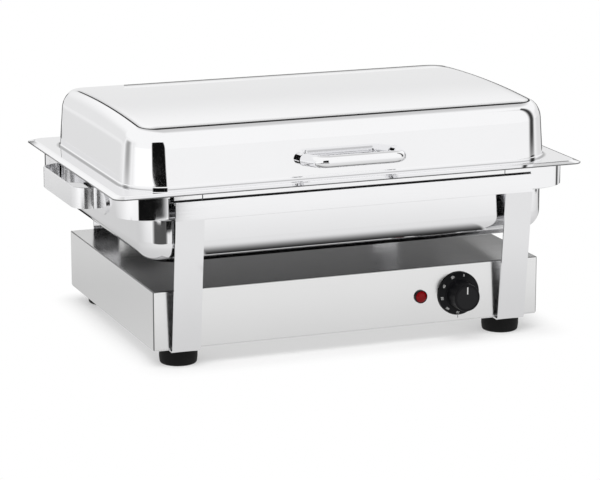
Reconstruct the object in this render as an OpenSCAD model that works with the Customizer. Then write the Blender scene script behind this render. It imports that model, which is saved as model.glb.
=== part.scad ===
// Electric chafing dish: a heated base box with two strip frames that carry
// a water pan, a food pan and a hinged lid. Front is -Y, up is +Z.

/* [Base box] */
// Length of the base box, left to right
box_l = 508; // [470:1:560]
// Depth of the base box, front to back
box_w = 348; // [330:1:356]
// Height of the base box
box_h = 74; // [70:1:100]
// Sheet thickness of the base box
box_t = 1.2; // [0.8:0.1:2]
// Width of the flanges turned in under the box
flange_w = 44; // [40:1:60]

/* [Feet] */
// Diameter of a rubber foot
foot_d = 47; // [36:1:54]
// Height of a rubber foot
foot_h = 20; // [16:1:40]
// Distance of the front feet from the middle
front_foot_x = 215; // [205:1:222]
// Distance of the rear feet from the middle
rear_foot_x = 212; // [200:1:218]
// Distance of the front feet from the box's front wall
front_foot_in = 24; // [16:1:30]
// Distance of the rear feet from the box's rear wall
rear_foot_in = 16; // [14:1:30]

/* [Frames] */
// Thickness of the frame strip
strip_t = 2; // [1.5:0.1:3]
// Width of a leg
leg_w = 36; // [30:1:50]
// Height of the rail between the legs
rail_h = 23; // [16:1:30]
// Length of the front frame
front_frame_l = 466; // [450:1:490]
// Length of the rear frame
rear_frame_l = 436; // [420:1:450]
// Gap between a leg's foot and the box wall
leg_gap = 6.4; // [3:0.1:8]
// How far the rail's top lies under the pan rim
rail_drop = 9.5; // [8:0.5:16]
// How far the rail lies outside the pan rim's edge
rail_over = 2; // [1:0.5:6]
// Groove between the rail and the support tongue
groove_w = 3.8; // [2:0.1:5]
// Thickness of the support tongue
tongue_t = 1.5; // [1:0.1:2]

/* [Water pan] */
// How far the rim reaches past the lid at each end
rim_over_l = 26; // [20:0.5:40]
// How far the rim reaches past the lid at the front and rear
rim_over_w = 22.5; // [21:0.5:32]
// How far the band lies in from the rim at each end
band_in_l = 13; // [8:0.5:20]
// How far the band lies in from the rim at the front and rear
band_in_w = 10; // [8:0.5:14]
// Height of the stepped band
band_h = 34; // [24:1:40]
// How far the lower body lies in from the band at each end
tub_in_l = 27.5; // [20:0.5:32]
// How far the lower body lies in from the band at the front and rear
tub_in_w = 2; // [1.5:0.5:8]
// Depth of the pan from the rim to its floor
pan_depth = 92.5; // [88:0.5:120]
// Rounding of the pan's bottom edge
pan_fillet = 28; // [20:1:36]
// Gap between the deck and the pan's floor
deck_gap = 31; // [15:0.5:50]
// Sheet thickness of the pans and the lid
sheet_t = 1; // [0.8:0.1:1.2]

/* [Food pan] */
// Length of the food pan over its flange
food_l = 530; // [526:1:534]
// Depth of the food pan over its flange
food_w = 325; // [320:1:328]
// Width of the food pan's flange
food_flange = 12; // [10:0.5:14]
// Depth of the food pan's trough
food_depth = 65; // [40:1:75]

/* [Lid] */
// How far the lid reaches past the food pan at each end
lid_over_l = 15; // [12:0.5:20]
// How far the lid reaches past the food pan at the front and rear
lid_over_w = 11.5; // [8:0.5:14]
// Height of the lid's straight wall
lid_wall_h = 44.5; // [40:0.5:70]
// Lean of the lid's wall
lid_draft = 4.5; // [2:0.5:8]
// Radius of the shoulder above the wall
shoulder_r = 25; // [16:1:30]
// Rise of the crowned top
lid_crown = 5.5; // [2:0.5:12]

/* [Lid handle] */
// Diameter of the handle tube
handle_d = 15; // [10:0.5:18]
// Distance of the handle's bar from the lid wall
handle_out = 39.5; // [36:0.5:60]
// Distance between the two spacers
handle_span = 124; // [110:1:160]
// Distance between the corners of the bar
handle_bar = 102; // [90:1:120]

/* [Side handles] */
// Height of the side handle strip
grip_h = 26; // [18:1:30]
// Thickness of the side handle strip
grip_t = 2.5; // [2:0.1:4]
// How far the grip stands out from the band
grip_out = 27; // [24:1:40]
// Length of the grip over its bends
grip_l = 158; // [120:1:180]
// Length of the tabs on the band
grip_tab = 47; // [36:1:56]

/* [Controls] */
// Place of the knob, right of the middle
knob_x = 145.5; // [120:0.5:160]
// Diameter of the knob's skirt
knob_d = 55; // [50:1:64]
// Diameter of the knob's cap
knob_cap_d = 34; // [28:1:40]
// Reach of the knob in front of the panel
knob_out = 29; // [24:1:34]
// Place of the signal lamp, right of the middle
lamp_x = 94.5; // [80:0.5:100]
// Diameter of the lamp's bezel
lamp_d = 16.5; // [15.5:0.5:24]

/* [Hinge] */
// Distance of a hinge from the middle
hinge_x = 170; // [120:1:200]
// Length of a hinge
hinge_l = 44; // [36:1:60]
// Diameter of a hinge pin
pin_d = 5; // [4:0.5:5]

/* [Hidden] */
$fn = 64;

// Colours
steel = [0.80, 0.81, 0.82];
satin = [0.74, 0.75, 0.76];
alloy = [0.70, 0.71, 0.73];
rubber = [0.05, 0.05, 0.05];
plastic = [0.09, 0.09, 0.09];
red = [0.70, 0.03, 0.04];
white = [0.95, 0.95, 0.95];
brass = [0.78, 0.62, 0.30];
fibre = [0.90, 0.89, 0.84];
wire_sleeve = [0.75, 0.72, 0.62];

// Clearances
play = 0.2;        // round a screw in its hole
running = 0.05;    // round a pin or shaft that turns
seat = 0.05;       // between a curved or slanted piece and its seat
hair = 0.3;        // between faces that move past each other

// Heights, from the floor up
plate_z = foot_h;
box_z = plate_z + strip_t;
cover_t = box_t;
flange_z = box_z + cover_t;
flange_top = flange_z + box_t;
deck_z = box_z + box_h;
deck_under = deck_z - box_t;
pan_floor = deck_z + deck_gap;
rim_z = pan_floor + pan_depth;
rim_under = rim_z - sheet_t;
rail_top = rim_under - rail_drop;
rail_bottom = rail_top - rail_h;

// The lid covers the food pan, the rim carries the lid and the band hangs under the rim
lid_l = food_l + 2 * lid_over_l;
lid_w = food_w + 2 * lid_over_w;
rim_l = lid_l + 2 * rim_over_l;
rim_w = lid_w + 2 * rim_over_w;
band_l = rim_l - 2 * band_in_l;
band_w = rim_w - 2 * band_in_w;

// Places in plan
wall_x = box_l / 2;
wall_y = box_w / 2;
rail_in = rim_w / 2 + rail_over;
tongue_out = rail_in - groove_w;
tongue_in = tongue_out - tongue_t;
rail_mid = rail_in + strip_t / 2;
leg_foot_mid = wall_y + leg_gap + strip_t / 2;
front_foot_y = front_foot_in - wall_y;
rear_foot_y = wall_y - rear_foot_in;
control_z = box_z + 36.5;

// Moves a piece from the box's own middle to the middle of the whole depth
module placed() translate([0, centre_y, 0]) children();

// Copies a piece to the other side of the middle
module both_sides() {
    children();
    mirror([1, 0, 0]) children();
}

// Rounded rectangle that all pressed sheets follow. Each ring has points on
// the four corners and along the two ends, and its ends may be arched.
corner_steps = 8;
end_steps = 8;
half_ring = 2 * (corner_steps + 1) + end_steps - 1;
ring_size = 2 * half_ring;

function corner(cx, cy, r, from) =
    [for (i = [0:corner_steps]) let (a = from + 90 * i / corner_steps) [cx + r * cos(a), cy + r * sin(a)]];

function end_edge(x, y0, y1) =
    [for (i = [1:end_steps - 1]) [x, y0 + (y1 - y0) * i / end_steps]];

function outline(hx, hy, r) = concat(
    corner(hx - r, r - hy, r, 270),
    end_edge(hx, r - hy, hy - r),
    corner(hx - r, hy - r, r, 0),
    corner(r - hx, hy - r, r, 90),
    end_edge(-hx, hy - r, r - hy),
    corner(r - hx, r - hy, r, 180)
);

// A ring is [half length, half depth, corner radius, height, rise of the arched ends]
function ring_points(s) =
    [for (p = outline(s[0], s[1], s[2])) [p[0], p[1], s[3] + s[4] * (1 - pow(p[1] / s[1], 2))]];

// Skin through a list of rings, closed by a cap at each end or joined into a loop
module skin(rings, loop = false) {
    n = ring_size;
    count = len(rings);
    last = (count - 1) * n;
    sides = [
        for (k = [0:count - (loop ? 1 : 2)])
            let (a = k * n, b = ((k + 1) % count) * n)
                for (i = [0:n - 1])
                    let (j = (i + 1) % n)
                        each [[a + i, b + i, b + j], [a + i, b + j, a + j]]
    ];
    caps = loop ? [] : [
        for (k = [0:half_ring - 2])
            let (m = n - 1 - k)
                each [[k, k + 1, m - 1, m], [last + k, last + m, last + m - 1, last + k + 1]]
    ];
    polyhedron(points = [for (s = rings) each ring_points(s)], faces = concat(sides, caps));
}

// Bent strip: a line of points rounded at its corners, then given a thickness
function unit(v) = v / norm(v);

function bend(a, b, c, r, steps = 8) =
    let (
        u = unit(a - b),
        w = unit(c - b),
        half = acos(u * w) / 2,
        mid = b + unit(u + w) * r / sin(half),
        start = b + u * r / tan(half) - mid,
        a0 = atan2(start[1], start[0]),
        turn = sign(w[0] * u[1] - w[1] * u[0]) * (180 - 2 * half)
    )
    [for (i = [0:steps]) mid + r * [cos(a0 + turn * i / steps), sin(a0 + turn * i / steps)]];

function bent_line(p, radii) = [
    p[0],
    for (i = [1:len(p) - 2]) each bend(p[i - 1], p[i], p[i + 1], radii[i - 1]),
    p[len(p) - 1]
];

function left_of(a, b) = let (d = unit(b - a)) [-d[1], d[0]];

function beside(p, d) = [
    for (i = [0:len(p) - 1])
        let (
            before = left_of(p[max(i, 1) - 1], p[max(i, 1)]),
            after = left_of(p[min(i, len(p) - 2)], p[min(i, len(p) - 2) + 1])
        )
        p[i] + d * (before + after) / (1 + before * after)
];

module strip_outline(p, t) {
    back = beside(p, -t / 2);
    polygon(concat(beside(p, t / 2), [for (i = [len(p) - 1:-1:0]) back[i]]));
}

// Round wire swept along points
function along(p, i) = unit(p[min(i + 1, len(p) - 1)] - p[max(i - 1, 0)]);

function wire_ring(p, i, r, n) =
    let (
        d = along(p, i),
        aside = unit(cross(d, abs(d[2]) > 0.9 ? [1, 0, 0] : [0, 0, 1])),
        over = cross(aside, d)
    )
    [for (k = [0:n - 1]) let (a = 360 * k / n) p[i] + r * (cos(a) * aside + sin(a) * over)];

module wire(p, r, n = 8) {
    last = (len(p) - 1) * n;
    sides = [
        for (i = [0:len(p) - 2], k = [0:n - 1])
            let (a = i * n, j = (k + 1) % n)
                each [[a + k, a + j, a + n + j], [a + k, a + n + j, a + n + k]]
    ];
    caps = [[for (k = [n - 1:-1:0]) k], [for (k = [0:n - 1]) last + k]];
    polyhedron(points = [for (i = [0:len(p) - 1]) each wire_ring(p, i, r, n)], faces = concat(sides, caps));
}

// Points a piece that is drawn along +Z out of the front panel
module out_of_panel(x, z) translate([x, -wall_y, z]) rotate([90, 0, 0]) children();

// Points a piece that is drawn along +Z out of the rear wall
module out_of_rear(x, z) translate([x, wall_y, z]) rotate([-90, 0, 0]) children();

module hex(across, h) cylinder(d = across / cos(30), h = h, $fn = 6);

// Screw pattern of the feet
foot_screw_d = 6;
foot_screw_head_d = 12;
foot_screw_head_h = 4;
foot_recess_d = 15;
foot_recess_h = 10;
foot_nut_h = 5;
foot_places = [
    [-front_foot_x, front_foot_y], [front_foot_x, front_foot_y],
    [-rear_foot_x, rear_foot_y], [rear_foot_x, rear_foot_y]
];

module at_feet() for (p = foot_places) translate([p[0], p[1], 0]) children();

// Screw pattern of the bottom cover
cover_screw_d = 4;
cover_screw_in = 13;
cover_screw_x = 130;
cover_screw_y = 60;
cover_screw_head_d = 8;
cover_screw_head_h = 2.2;
cover_screw_l = 10;
cover_places = concat(
    [for (k = [-1:1], s = [-1, 1]) [k * cover_screw_x, s * (wall_y - cover_screw_in)]],
    [for (k = [-1, 1], s = [-1, 1]) [s * (wall_x - cover_screw_in), k * cover_screw_y]]
);

module at_cover_screws() for (p = cover_places) translate([p[0], p[1], 0]) children();

// Controls and entry
shaft_d = 6;
bush_d = 10;
bush_l = 8;
panel_nut_across = 14;
panel_nut_h = 3;
barrel_d = lamp_d - 2.5;
barrel_l = 24;
gland_x = -150;
gland_z = box_z + 33;
gland_thread_d = 20;
gland_across = 24;
gland_neck_d = 16;
gland_bore_d = 10;
gland_locknut_h = 5;
gland_hex_l = 8;
gland_cap_l = 20;
cord_d = 7;
earth_x = -35;
earth_d = 5;
terminal_in = 22;
rear_inner_y = wall_y - terminal_in;

module base_shell() color(satin) placed() difference() {
    translate([-wall_x, -wall_y, flange_z]) cube([box_l, box_w, deck_z - flange_z]);
    translate([box_t - wall_x, box_t - wall_y, flange_top])
        cube([box_l - 2 * box_t, box_w - 2 * box_t, deck_under - flange_top]);
    translate([flange_w - wall_x, flange_w - wall_y, flange_z - 1])
        cube([box_l - 2 * flange_w, box_w - 2 * flange_w, box_t + 2]);
    translate([0, 0, flange_z - 1]) at_feet() cylinder(d = foot_screw_d + 2 * play, h = box_t + 2);
    translate([0, 0, flange_z - 1]) at_cover_screws()
        cylinder(d = cover_screw_d + 2 * running, h = box_t + 2);
    translate([earth_x, rear_inner_y, flange_z - 1]) cylinder(d = earth_d + 2 * running, h = box_t + 2);
    out_of_panel(knob_x, control_z) translate([0, 0, -2]) cylinder(d = bush_d + 2 * play, h = 3);
    out_of_panel(lamp_x, control_z) translate([0, 0, -2]) cylinder(d = barrel_d + 2 * play, h = 3);
    out_of_rear(gland_x, gland_z) translate([0, 0, -2]) cylinder(d = gland_thread_d + 2 * play, h = 3);
}

module bottom_cover() color(satin) placed() difference() {
    inset = 1;
    translate([inset - wall_x, inset - wall_y, box_z])
        cube([box_l - 2 * inset, box_w - 2 * inset, cover_t]);
    translate([0, 0, box_z - 1]) at_feet() cylinder(d = foot_screw_d + 2 * play, h = cover_t + 2);
    translate([0, 0, box_z - 1]) at_cover_screws() cylinder(d = cover_screw_d + 2 * play, h = cover_t + 2);
}

module cover_screws() color(steel) placed() at_cover_screws() {
    translate([0, 0, box_z - cover_screw_head_h]) cylinder(d = cover_screw_head_d, h = cover_screw_head_h);
    translate([0, 0, box_z]) cylinder(d = cover_screw_d, h = cover_screw_l);
}

// One leg with its foot plate, at the front, as the strip's middle line in Y and Z
plate_end = wall_y - 56;
leg_line = bent_line(
    [[-rail_mid, rail_top], [-rail_mid, rail_bottom], [-leg_foot_mid, plate_z + strip_t / 2],
     [-plate_end, plate_z + strip_t / 2]],
    [12, 3]
);

// Frame of strip at the front, with its tongue behind the rail
module strip_frame(frame_l, foot_x, foot_y, plate_reach) {
    inner_x = frame_l / 2 - leg_w;
    web_z = rail_top - 5;
    tongue_top = border_under(rim_y - tongue_out) - seat;
    difference() {
        union() {
            both_sides() translate([inner_x, 0, 0]) rotate([90, 0, 90])
                linear_extrude(leg_w) strip_outline(leg_line, strip_t);
            both_sides() translate([inner_x, -leg_foot_mid + 6, plate_z])
                cube([plate_reach - inner_x, leg_foot_mid - 6 - plate_end, strip_t]);
            translate([-inner_x, -rail_in - strip_t, rail_bottom]) cube([2 * inner_x, strip_t, rail_h]);
            translate([-inner_x, -rail_in, web_z]) cube([2 * inner_x, rail_in - tongue_in, tongue_t]);
            translate([-inner_x, -tongue_out, web_z]) cube([2 * inner_x, tongue_t, tongue_top - web_z]);
        }
        both_sides() translate([foot_x, foot_y, plate_z - 1])
            cylinder(d = foot_screw_d + 2 * play, h = strip_t + 2);
    }
}

module front_frame() color(steel) placed()
    strip_frame(front_frame_l, front_foot_x, front_foot_y, front_frame_l / 2);

module rear_frame() color(steel) placed() mirror([0, 1, 0])
    strip_frame(rear_frame_l, rear_foot_x, -rear_foot_y, rear_foot_x + leg_w / 2);

module rubber_feet() color(rubber) placed() at_feet() rotate_extrude() polygon(concat(
    [[foot_recess_d / 2, 0], [foot_d / 2 - 4, 0]],
    [for (a = [-75:15:0]) [foot_d / 2 - 3 + 3 * cos(a), 3 + 3 * sin(a)]],
    [[foot_d / 2, foot_h - 1], [foot_d / 2 - 1, foot_h], [foot_screw_d / 2 + play, foot_h],
     [foot_screw_d / 2 + play, foot_recess_h], [foot_recess_d / 2, foot_recess_h]]
));

module foot_screws() color(steel) placed() at_feet() {
    translate([0, 0, foot_recess_h - foot_screw_head_h])
        cylinder(d = foot_screw_head_d, h = foot_screw_head_h);
    translate([0, 0, foot_recess_h])
        cylinder(d = foot_screw_d, h = flange_top + foot_nut_h + 2 - foot_recess_h);
}

module foot_nuts() color(steel) placed() at_feet() translate([0, 0, flange_top]) difference() {
    hex(10, foot_nut_h);
    translate([0, 0, -1]) cylinder(d = foot_screw_d + 2 * running, h = foot_nut_h + 2);
}

// Heater under the deck
spreader_in_l = 44;
spreader_in_w = 56;
spreader_l = box_l - 2 * spreader_in_l;
spreader_w = box_w - 2 * spreader_in_w;
spreader_t = 4;
spreader_z = deck_under - spreader_t;
element_d = 8;
element_z = spreader_z - element_d / 2 - seat;
element_pitch = 50;
element_in = 45;
element_run = spreader_l / 2 - element_in;
element_rows = [-1.5, -0.5, 0.5, 1.5] * element_pitch;
shield_t = 0.8;
shield_over_l = 12;
shield_over_w = 7;
shield_depth = 34;
shield_l = spreader_l + 2 * shield_over_l;
shield_w = spreader_w + 2 * shield_over_w;
shield_z = deck_under - shield_depth;
shield_lip = 9;
element_out = 10;
element_end = shield_l / 2 + element_out;
clamp_t = 1.5;
clamp_z = element_z - element_d / 2 - seat - clamp_t;
clamp_over = 18;
clamp_reach = element_rows[3] + clamp_over;
clamp_screw_d = 4;
clamp_screw_in = 6;
clamp_w = 16;
clamp_screw_head_h = 2.2;
clamp_places = [-110, -37, 37, 110];

module heat_spreader() color(alloy) placed() difference() {
    translate([-spreader_l / 2, -spreader_w / 2, spreader_z]) cube([spreader_l, spreader_w, spreader_t]);
    at_clamp_screws() translate([0, 0, spreader_z - 1])
        cylinder(d = clamp_screw_d + 2 * running, h = spreader_t);
}

module at_clamp_screws() for (x = clamp_places, s = [-1, 1])
    translate([x, s * (clamp_reach - clamp_screw_in), 0]) children();

// Straight run of the element from x0 to x1 on row y
module element_line(y, x0, x1, d = element_d)
    translate([x0, y, element_z]) rotate([0, 90, 0]) cylinder(d = d, h = x1 - x0);

// Half turn of the element between two rows
module element_turn(x, y, from)
    translate([x, y, element_z]) rotate([0, 0, from]) rotate_extrude(angle = 180)
        translate([element_pitch / 2, 0]) circle(d = element_d);

module heating_element() color([0.35, 0.35, 0.36]) placed() {
    element_line(element_rows[0], -element_run, element_end);
    element_turn(-element_run, -element_pitch, 90);
    element_line(element_rows[1], -element_run, element_run);
    element_turn(element_run, 0, -90);
    element_line(element_rows[2], -element_run, element_run);
    element_turn(-element_run, element_pitch, 90);
    element_line(element_rows[3], -element_run, element_end);
    for (y = [element_rows[0], element_rows[3]]) element_line(y, element_end, element_end + 4, 4);
}

module element_clamps() color(steel) placed() difference() {
    for (x = clamp_places) translate([x - clamp_w / 2, -clamp_reach, clamp_z])
        cube([clamp_w, 2 * clamp_reach, clamp_t]);
    at_clamp_screws() translate([0, 0, clamp_z - 1])
        cylinder(d = clamp_screw_d + 2 * play, h = clamp_t + 2);
}

module clamp_screws() color(steel) placed() at_clamp_screws() {
    translate([0, 0, clamp_z - clamp_screw_head_h]) cylinder(d = 8, h = clamp_screw_head_h);
    translate([0, 0, clamp_z]) cylinder(d = clamp_screw_d, h = spreader_z + spreader_t - 1.5 - clamp_z);
}

// Capillary thermostat: its tube leaves the tray through a hole in the front
capillary_d = 2;
capillary_x = 75;
capillary_up = 19;
capillary_hole = [capillary_x, -shield_w / 2, shield_z + capillary_up];

module heat_shield() color(alloy) placed() difference() {
    union() {
        translate([-shield_l / 2, -shield_w / 2, shield_z])
            cube([shield_l, shield_w, deck_under - shield_z]);
        translate([-shield_l / 2 - shield_lip, -shield_w / 2 - shield_lip, deck_under - shield_t])
            cube([shield_l + 2 * shield_lip, shield_w + 2 * shield_lip, shield_t]);
    }
    translate([shield_t - shield_l / 2, shield_t - shield_w / 2, shield_z + shield_t])
        cube([shield_l - 2 * shield_t, shield_w - 2 * shield_t, deck_z - shield_z]);
    for (y = [element_rows[0], element_rows[3]])
        element_line(y, shield_l / 2 - 3, shield_l / 2 + 3, element_d + 2 * play);
    translate(capillary_hole) rotate([90, 0, 0]) cylinder(d = 4, h = 6, center = true);
}

module insulation() color(fibre) placed()
    translate([3 - shield_l / 2, 3 - shield_w / 2, shield_z + shield_t])
        cube([shield_l - 6, shield_w - 6, clamp_z - clamp_screw_head_h - 1 - shield_z - shield_t]);

body_l = 44;
body_h = 46;
body_w = 34;
body_back = body_w + box_t - wall_y;
shaft_end = 23;

module thermostat_body() color(plastic) placed() difference() {
    union() {
        translate([knob_x - body_l / 2, box_t - wall_y, control_z - body_h / 2])
            cube([body_l, body_w, body_h]);
        out_of_panel(knob_x, control_z) translate([0, 0, -box_t - 1])
            cylinder(d = bush_d, h = bush_l + box_t + 1);
    }
    out_of_panel(knob_x, control_z) translate([0, 0, -shaft_end - 1])
        cylinder(d = shaft_d + 2 * running, h = shaft_end + bush_l + 2);
}

module thermostat_nut() color(brass) placed() out_of_panel(knob_x, control_z) difference() {
    hex(panel_nut_across, panel_nut_h);
    translate([0, 0, -1]) cylinder(d = bush_d + 2 * running, h = panel_nut_h + 2);
}

bulb_d = 6;
bulb_l = 90;
bulb_z = spreader_z - bulb_d / 2 - seat;
capillary_port = [knob_x - body_l / 2 + 6, body_back, control_z + 12];

module thermostat_bulb() color(brass) placed() {
    low_z = capillary_hole[2];
    translate([-bulb_l / 2, 0, bulb_z]) rotate([0, 90, 0]) cylinder(d = bulb_d, h = bulb_l);
    wire([
        [bulb_l / 2 - 1, 0, bulb_z], [bulb_l / 2 + 8, 0, bulb_z - 1], [bulb_l / 2 + 16, -6, bulb_z - 5],
        [capillary_x - 7, -14, low_z], [capillary_x - 3, capillary_hole[1] / 2, low_z], capillary_hole,
        [capillary_x + 5, capillary_hole[1] - 6, low_z - 2],
        [capillary_x + 25, capillary_hole[1] - 9, capillary_port[2] + 1],
        [capillary_port[0] - 2, body_back + 8, capillary_port[2]],
        [capillary_port[0], body_back + 4, capillary_port[2]], capillary_port
    ], capillary_d / 2);
}

module bulb_clips() color(steel) placed() for (x = [-28, 20]) translate([x, 0, 0]) difference() {
    clip_w = bulb_d / 2 + play + 1;
    clip_z = bulb_z - bulb_d / 2 - seat - 1;
    translate([0, -clip_w, clip_z]) cube([9, 2 * clip_w, spreader_z - clip_z]);
    translate([-1, 1 - clip_w, clip_z + 1]) cube([11, 2 * clip_w - 2, spreader_z]);
}

// Signal lamp
bezel_h = 2.5;
lamp_bore = barrel_d - 3;

module lamp_housing() color(plastic) placed() out_of_panel(lamp_x, control_z) difference() {
    union() {
        cylinder(d = lamp_d, h = bezel_h);
        translate([0, 0, -barrel_l]) cylinder(d = barrel_d, h = barrel_l + 1);
    }
    translate([0, 0, 2 - barrel_l]) cylinder(d = lamp_bore, h = barrel_l + bezel_h);
    translate([0, 0, 1]) cylinder(d = lamp_d - 2, h = bezel_h);
}

module lamp_lens() color(red) placed() out_of_panel(lamp_x, control_z) rotate_extrude() {
    lens_r = lamp_d / 2 - 1 - seat;
    polygon(concat(
        [[0, -2], [lamp_bore / 2 - seat, -2], [lamp_bore / 2 - seat, 1], [lens_r, 1]],
        [for (a = [0:10:90]) [lens_r * cos(a), bezel_h - 0.5 + 3.5 * sin(a)]]
    ));
}

module lamp_bulb() color([0.9, 0.75, 0.6]) placed() out_of_panel(lamp_x, control_z)
    translate([0, 0, 2 - barrel_l]) cylinder(d = 6, h = barrel_l - 6);

module lamp_nut() color(plastic) placed() out_of_panel(lamp_x, control_z)
    translate([0, 0, -box_t - panel_nut_h]) difference() {
        hex(barrel_d + 5, panel_nut_h);
        translate([0, 0, -1]) cylinder(d = barrel_d + 2 * running, h = panel_nut_h + 2);
    }

// Terminals at the rear, on the flange
block_x = -90;
block_l = 54;
block_w = 20;
block_h = 18;
block_front = rear_inner_y - block_w / 2;
pole_pitch = 17;
poles = [for (i = [-1:1]) block_x + i * pole_pitch];
port_z = flange_top + 6;

module terminal_block() color([0.93, 0.92, 0.88]) placed() difference() {
    translate([block_x - block_l / 2, block_front, flange_top]) cube([block_l, block_w, block_h]);
    for (x = poles) translate([x, rear_inner_y, flange_top + 8]) cylinder(d = 6 + 2 * running, h = block_h);
}

module terminal_screws() color(brass) placed() for (x = poles)
    translate([x, rear_inner_y, flange_top + 8]) cylinder(d = 6, h = 8);

module earth_stud() color(brass) placed() translate([earth_x, rear_inner_y, flange_z])
    cylinder(d = earth_d, h = 18);

module earth_nut() color(brass) placed() translate([earth_x, rear_inner_y, flange_top]) difference() {
    hex(8, 4);
    translate([0, 0, -1]) cylinder(d = earth_d + 2 * running, h = 6);
}

// Insulated leads between terminals, thermostat, lamp, element and earth
module wiring() color(wire_sleeve) placed() {
    lead_r = 1.4;
    under_z = shield_z - 14;
    tip_x = element_end + 4;
    lamp_back = barrel_l - wall_y;
    lamp_z = control_z;
    side_x = wall_x - 8;
    front_y = element_rows[0];
    rear_y = element_rows[3];
    wire([
        [poles[0], block_front, port_z], [poles[0], block_front - 8, port_z],
        [poles[0], block_front - 30, under_z], [knob_x - 30, body_back + 40, under_z],
        [knob_x - 6, body_back + 12, control_z - 10],
        [knob_x - 6, body_back, control_z - 10]
    ], lead_r);
    wire([
        [knob_x + 8, body_back, control_z - 10], [knob_x + 8, body_back + 10, control_z - 10],
        [side_x - 30, front_y - 30, under_z], [side_x, front_y - 10, element_z - 14],
        [side_x - 1, front_y, element_z - 3], [tip_x + 4, front_y, element_z], [tip_x, front_y, element_z]
    ], lead_r);
    wire([
        [poles[1], block_front, port_z], [poles[1], block_front - 8, port_z],
        [poles[1] + 20, block_front - 14, under_z],
        [side_x - 40, block_front - 14, under_z], [side_x, rear_y + 14, element_z - 16],
        [side_x - 1, rear_y, element_z - 3], [tip_x + 4, rear_y, element_z], [tip_x, rear_y, element_z]
    ], lead_r);
    wire([
        [lamp_x + 4, lamp_back, lamp_z], [lamp_x + 4, lamp_back + 5, lamp_z],
        [lamp_x + 14, body_back - 8, lamp_z - 14], [knob_x - body_l / 2 - 6, body_back - 14, lamp_z - 16],
        [knob_x - body_l / 2, body_back - 14, lamp_z - 16]
    ], lead_r);
    wire([
        [lamp_x - 4, lamp_back, lamp_z], [lamp_x - 4, lamp_back + 5, lamp_z],
        [lamp_x - 10, lamp_back + 40, under_z - 6], [poles[2] + 10, block_front - 50, under_z - 6],
        [poles[2], block_front - 10, port_z], [poles[2], block_front, port_z]
    ], lead_r);
    wire([
        [block_x + block_l / 2, rear_inner_y, port_z], [block_x + block_l / 2 + 8, rear_inner_y, port_z],
        [earth_x - 12, rear_inner_y, port_z - 3.5], [earth_x - 4.6, rear_inner_y, port_z - 3.5]
    ], lead_r);
}

// Cable gland in the rear wall
module cable_gland() color(plastic) placed() out_of_rear(gland_x, gland_z) difference() {
    union() {
        hex(gland_across, gland_hex_l);
        translate([0, 0, -10]) cylinder(d = gland_thread_d, h = 11);
        cylinder(d = gland_neck_d, h = gland_hex_l + 8);
    }
    translate([0, 0, -11]) cylinder(d = gland_bore_d, h = gland_hex_l + 20);
}

module gland_cap() color(plastic) placed() out_of_rear(gland_x, gland_z)
    translate([0, 0, gland_hex_l]) difference() {
        union() {
            hex(gland_across - 2, gland_cap_l - 7);
            rotate_extrude() polygon([
                [0, 0], [10, 0], [10, gland_cap_l - 7], [8, gland_cap_l - 2], [6.5, gland_cap_l],
                [0, gland_cap_l]
            ]);
        }
        translate([0, 0, -1]) cylinder(d = gland_neck_d + 2 * running, h = 15);
        translate([0, 0, -1]) cylinder(d = gland_bore_d, h = gland_cap_l + 2);
    }

module gland_seal() color(rubber) placed() out_of_rear(gland_x, gland_z)
    translate([0, 0, gland_hex_l]) difference() {
        cylinder(d = gland_bore_d - 2 * running, h = gland_cap_l - 1);
        translate([0, 0, -1]) cylinder(d = cord_d, h = gland_cap_l + 1);
    }

module gland_locknut() color(plastic) placed() out_of_rear(gland_x, gland_z)
    translate([0, 0, -box_t - gland_locknut_h]) difference() {
        hex(gland_across + 2, gland_locknut_h);
        translate([0, 0, -1]) cylinder(d = gland_thread_d + 2 * running, h = gland_locknut_h + 2);
    }

// Knob and its shaft
skirt_gap = 1;
skirt_h = 5;
hub_z = 10;
hub_r = 11;
shaft_flat = 1.5;
pointer_l = 9;
pointer_in = 3;
pointer_w = 1.5;
pointer_h = 0.6;
shaft_tip = knob_out - 6;

module shaft_solid(d) difference() {
    cylinder(d = d, h = shaft_end + shaft_tip);
    translate([-d, d / 2 - shaft_flat, shaft_end + hub_z]) cube([2 * d, d, shaft_tip]);
}

module thermostat_shaft() color(steel) placed() out_of_panel(knob_x, control_z)
    translate([0, 0, -shaft_end]) shaft_solid(shaft_d);

module pointer_bar(grow)
    translate([-pointer_w / 2 - grow, knob_cap_d / 2 - pointer_in - pointer_l - grow, knob_out - pointer_h])
        cube([pointer_w + 2 * grow, pointer_l + 2 * grow, pointer_h + 2 * grow]);

module knob_body() color(plastic) placed() out_of_panel(knob_x, control_z) difference() {
    rotate_extrude() polygon([
        [0, hub_z + 1], [hub_r, hub_z + 1], [hub_r, skirt_gap], [knob_d / 2 - 1, skirt_gap],
        [knob_d / 2, skirt_gap + 1], [knob_d / 2, skirt_gap + 2],
        [knob_cap_d / 2 + 3, skirt_gap + skirt_h], [knob_cap_d / 2 + 1, skirt_gap + skirt_h],
        [knob_cap_d / 2, knob_out - 1], [knob_cap_d / 2 - 1, knob_out], [0, knob_out]
    ]);
    translate([0, 0, -shaft_end]) shaft_solid(shaft_d + 2 * running);
    pointer_bar(running);
}

module knob_pointer() color(white) placed() out_of_panel(knob_x, control_z) pointer_bar(0);

// Water pan: tub, rim, side handles
band_x = band_l / 2;
band_y = band_w / 2;
band_r = 40;
band_z = rim_under - band_h;
tub_x = band_x - tub_in_l;
tub_y = band_y - tub_in_w;
tub_r = band_r;
tub_floor_r = 24;
fillet_steps = 6;

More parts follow.
